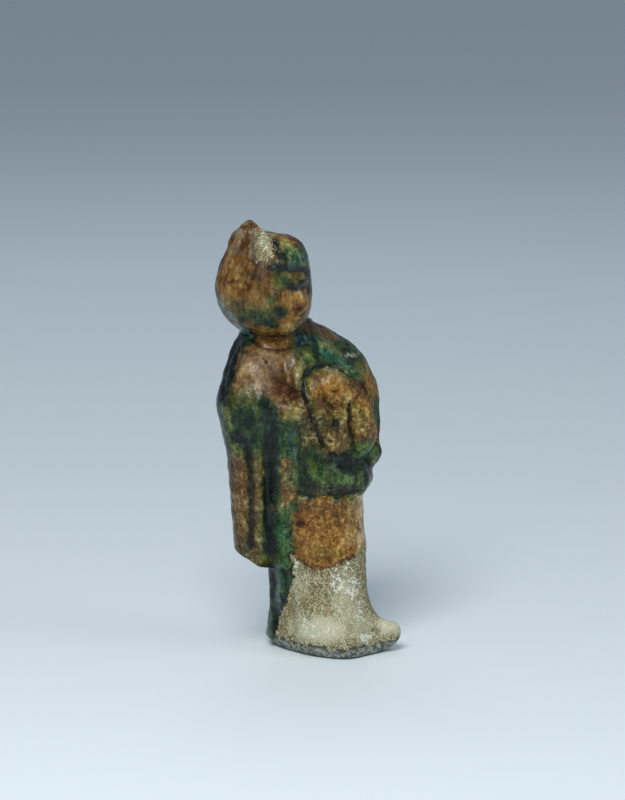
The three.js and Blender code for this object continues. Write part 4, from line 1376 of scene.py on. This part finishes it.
# Roughness from 0 to 1 and what adds to it, how strongly the glaze reflects, and the finest relief in mm
surface = {"glaze": 0.16, "bareClay": 0.66, "rubbed": 0.5, "pits": 0.3, "shine": 0.24, "bumpDepth": 0.24}


def bodyColour(name):
    return (*decimals(bodyColours[name]), 1)


def makeGlaze():
    m = Finish("sancai_glaze")
    taken = m.node("ShaderNodeSeparateXYZ", None, m.attribute("taken", out=1)).socket.node
    channels = [Value(m, taken.outputs[k]) for k in range(3)]
    bareShare, rimShare, dirtShare = m.attribute("bare"), m.attribute("rim"), m.attribute("dirt")
    paleShare, chalkShare, pool = m.attribute("pale"), m.attribute("chalk"), m.attribute("pool")
    sandy = m.attribute("sandy")

    broad = m.noise(grains["broad"], 3, 0.6)
    mottle = m.noise(grains["mottle"], 3, 0.62)
    fine = m.noise(grains["fine"], 2, 0.65)
    grain = m.noise(grains["grain"], 2, 0.7)
    runs = m.noise(grains["runs"], 2, 0.6, stretch=(1, 1, 0.28))
    pits = 1 - m.smooth(m.cells(grains["pits"]), 0.14, 0.28)
    pits = pits * m.smooth(m.noise(grains["pitPatches"], 1, 0.5), 0.44, 0.56) * (0.3 + 0.7 * sandy)

    # Thick glaze is darker, and green glaze breaks to yellow where it is thin. Copper is what is green and
    # not nearly black.
    copper = m.smooth(channels[0] - channels[1], 0.05, 0.5) * (1 - 0.85 * m.smooth(channels[0], 3.5, 4.3))
    thick = 0.3 + 0.25 * pool + 2 * (broad - 0.5) + 1.7 * (mottle - 0.5) * (0.6 + sandy)
    thick = thick + 1.9 * (fine - 0.5) * (0.25 + 0.85 * sandy)
    thick = thick + 1.3 * (runs - 0.5) + copper * (0.48 - 0.6 * m.smooth(mottle, 0.42, 0.5))
    thin = m.smooth(0.5 * mottle + 0.5 * fine - 0.06 * pool, 0.52, 0.57) * copper * (0.35 + 0.65 * sandy)
    shades = []
    for channel, share, body in zip(channels, (0.37, 0.37, 0.05), decimals(slip)):
        depth = channel * (1 + 0.65 * thick) * (1 - share * thin) + 0.5 * thick + 0.9 * pits
        depth = m.math("MAXIMUM", depth, 0.12)
        shades.append(m.math("EXPONENT", 0 - depth) * float(body))
    glazed = m.node("ShaderNodeCombineColor", None, *shades)

    # Milky pinholes in the green, partly painted glints, and chalky wear
    pinholesAndGlints = 1 - m.smooth(m.cells(grains["bubbleGlints"]), 0.1, 0.17)
    pinholesAndGlints = pinholesAndGlints * m.smooth(m.noise(grains["bubbleGlintPatches"], 1, 0.5), 0.54, 0.6) * copper
    glazed = m.mix(0.18 * pinholesAndGlints, glazed, bodyColour("bubbleGlint"))
    worn = m.smooth(chalkShare + 2.2 * (mottle - 0.5) + 1.8 * (fine - 0.5), 0.56, 0.63)
    flaked = worn * m.smooth(chalkShare, 0.02, 0.15)
    glazed = m.mix(0.8 * flaked, glazed, bodyColour("wornGlaze"))

    # Bare clay: speckled, paler or browner in places, chalky, and dirty at the rim
    clayTone = m.smooth(0.25 * mottle + 0.45 * fine + 0.3 * grain, 0.45, 0.54)
    bareClay = m.mix(clayTone, bodyColour("darkClay"), bodyColour("lightClay"))
    bareClay = m.mix(0.45 * m.smooth(broad, 0.48, 0.6), bareClay, bodyColour("tanClay"))
    bareClay = m.mix(0.85 * paleShare, bareClay, bodyColour("paleClay"))
    brown = m.smooth(0.7 * m.noise(grains["brown"], 2, 0.7) + 0.3 * grain, 0.515, 0.56)
    brown = brown * (1 - 0.8 * paleShare)
    bareClay = m.mix(0.85 * brown, bareClay, bodyColour("brownClay"))
    bareClay = m.mix(worn, bareClay, bodyColour("chalk"))
    rimTone = m.smooth(0.7 * mottle + 0.3 * fine, 0.42, 0.58)
    bareClay = m.mix(rimShare, bareClay, m.mix(rimTone, bodyColour("darkRim"), bodyColour("lightRim")))
    sooty = m.smooth(dirtShare + 1.1 * (mottle - 0.5) + 0.9 * (fine - 0.5), 0.4, 0.62)
    bareClay = m.mix(0.85 * sooty, bareClay, bodyColour("soot"))

    # Where the glaze ends, with a ragged edge
    bareEdge = m.smooth(bareShare + 0.7 * (fine - 0.5) + 0.4 * (grain - 0.5), 0.44, 0.56)
    shown = m.mix(bareEdge, glazed, bareClay)
    rough = surface["glaze"] + 0.2 * m.smooth(broad, 0.42, 0.66) + 0.3 * flaked * (1 - bareEdge)
    rough = rough + surface["bareClay"] * bareEdge
    rough = rough + surface["rubbed"] * m.attribute("dull") + surface["pits"] * pits

    # Finest relief: rippled and cracked glaze, grainy clay
    cracks = 1 - m.smooth(m.cells(grains["crackle"], "DISTANCE_TO_EDGE"), 0.0, 0.035)
    glazeHeight = (0.25 + 0.4 * sandy) * mottle + 0.12 * sandy * fine - 0.1 * cracks - 0.15 * pits
    clayHeight = 0.7 * fine + 0.9 * grain - 0.4 * brown + 0.3 * worn
    relief = glazeHeight * (1 - bareEdge) + clayHeight * bareEdge
    bump = {"Strength": 0.75, "Distance": surface["bumpDepth"] / 1000, "Height": relief}
    normal = m.node("ShaderNodeBump", None, **bump)
    sockets = {
        "Base_Color": shown,
        "Roughness": rough,
        "IOR": 1.5,
        "Specular_IOR_Level": surface["shine"],
        "Normal": normal,
    }
    shader = m.node("ShaderNodeBsdfPrincipled", None, **sockets)
    m.node("ShaderNodeOutputMaterial", None, shader)
    return m.data


figure.data.materials.append(makeGlaze())
print("glaze fired")

# Plain floor and the lights above it
studio = {
    "floorColour": (0.84, 0.94, 1),
    "floorRoughness": 0.6,
    "floorRadius": 6,  # metres
    "aim": (0, 0, 0.06),  # metres, the middle of the figure
    "skyColour": (0.74, 0.87, 1),
    "skyStrength": 0.26,
}
# Azimuth and elevation in degrees, distance and size in metres, power in watts, colour
lamps = {
    "key": (-52, 44, 0.9, 0.42, 5.9, (1, 0.98, 0.94)),
    "fill": (28, 20, 1.2, 0.6, 2.1, (0.95, 0.98, 1)),
    "back": (150, 45, 1.0, 0.6, 1.1, (0.93, 0.97, 1)),
    "glint": (-50, 35, 0.9, 0.03, 0.15, (1, 1, 1)),
}


def addFloor(s):
    mesh = bpy.data.meshes.new("floor")
    bm = bmesh.new()
    bmesh.ops.create_circle(bm, cap_ends=True, segments=64, radius=s["floorRadius"])
    bm.to_mesh(mesh)
    bm.free()
    floor = bpy.data.objects.new("floor", mesh)
    bpy.context.scene.collection.objects.link(floor)
    mat = bpy.data.materials.new("floor")
    mat.use_nodes = True
    bsdf = mat.node_tree.nodes["Principled BSDF"]
    bsdf.inputs["Base Color"].default_value = (*s["floorColour"], 1)
    bsdf.inputs["Roughness"].default_value = s["floorRoughness"]
    mesh.materials.append(mat)


def addLamp(name, azimuth, elevation, distance, size, power, colour):
    back = viewAxes(azimuth, elevation)[2]
    data = bpy.data.lights.new(name, "AREA")
    data.shape = "RECTANGLE"
    data.size = data.size_y = size
    data.energy = power
    data.color = colour
    lamp = bpy.data.objects.new(name, data)
    lamp.location = Vector(studio["aim"]) + back * distance
    lamp.rotation_euler = back.to_track_quat("Z", "Y").to_euler()
    bpy.context.scene.collection.objects.link(lamp)


addFloor(studio)
for name, settings in lamps.items():
    addLamp(name, *settings)
world = bpy.data.worlds.new("studio")
world.use_nodes = True
sky = world.node_tree.nodes["Background"]
sky.inputs["Color"].default_value = (*studio["skyColour"], 1)
sky.inputs["Strength"].default_value = studio["skyStrength"]
bpy.context.scene.world = world
bpy.context.scene.view_settings.view_transform = "Standard"
print("stage lit")
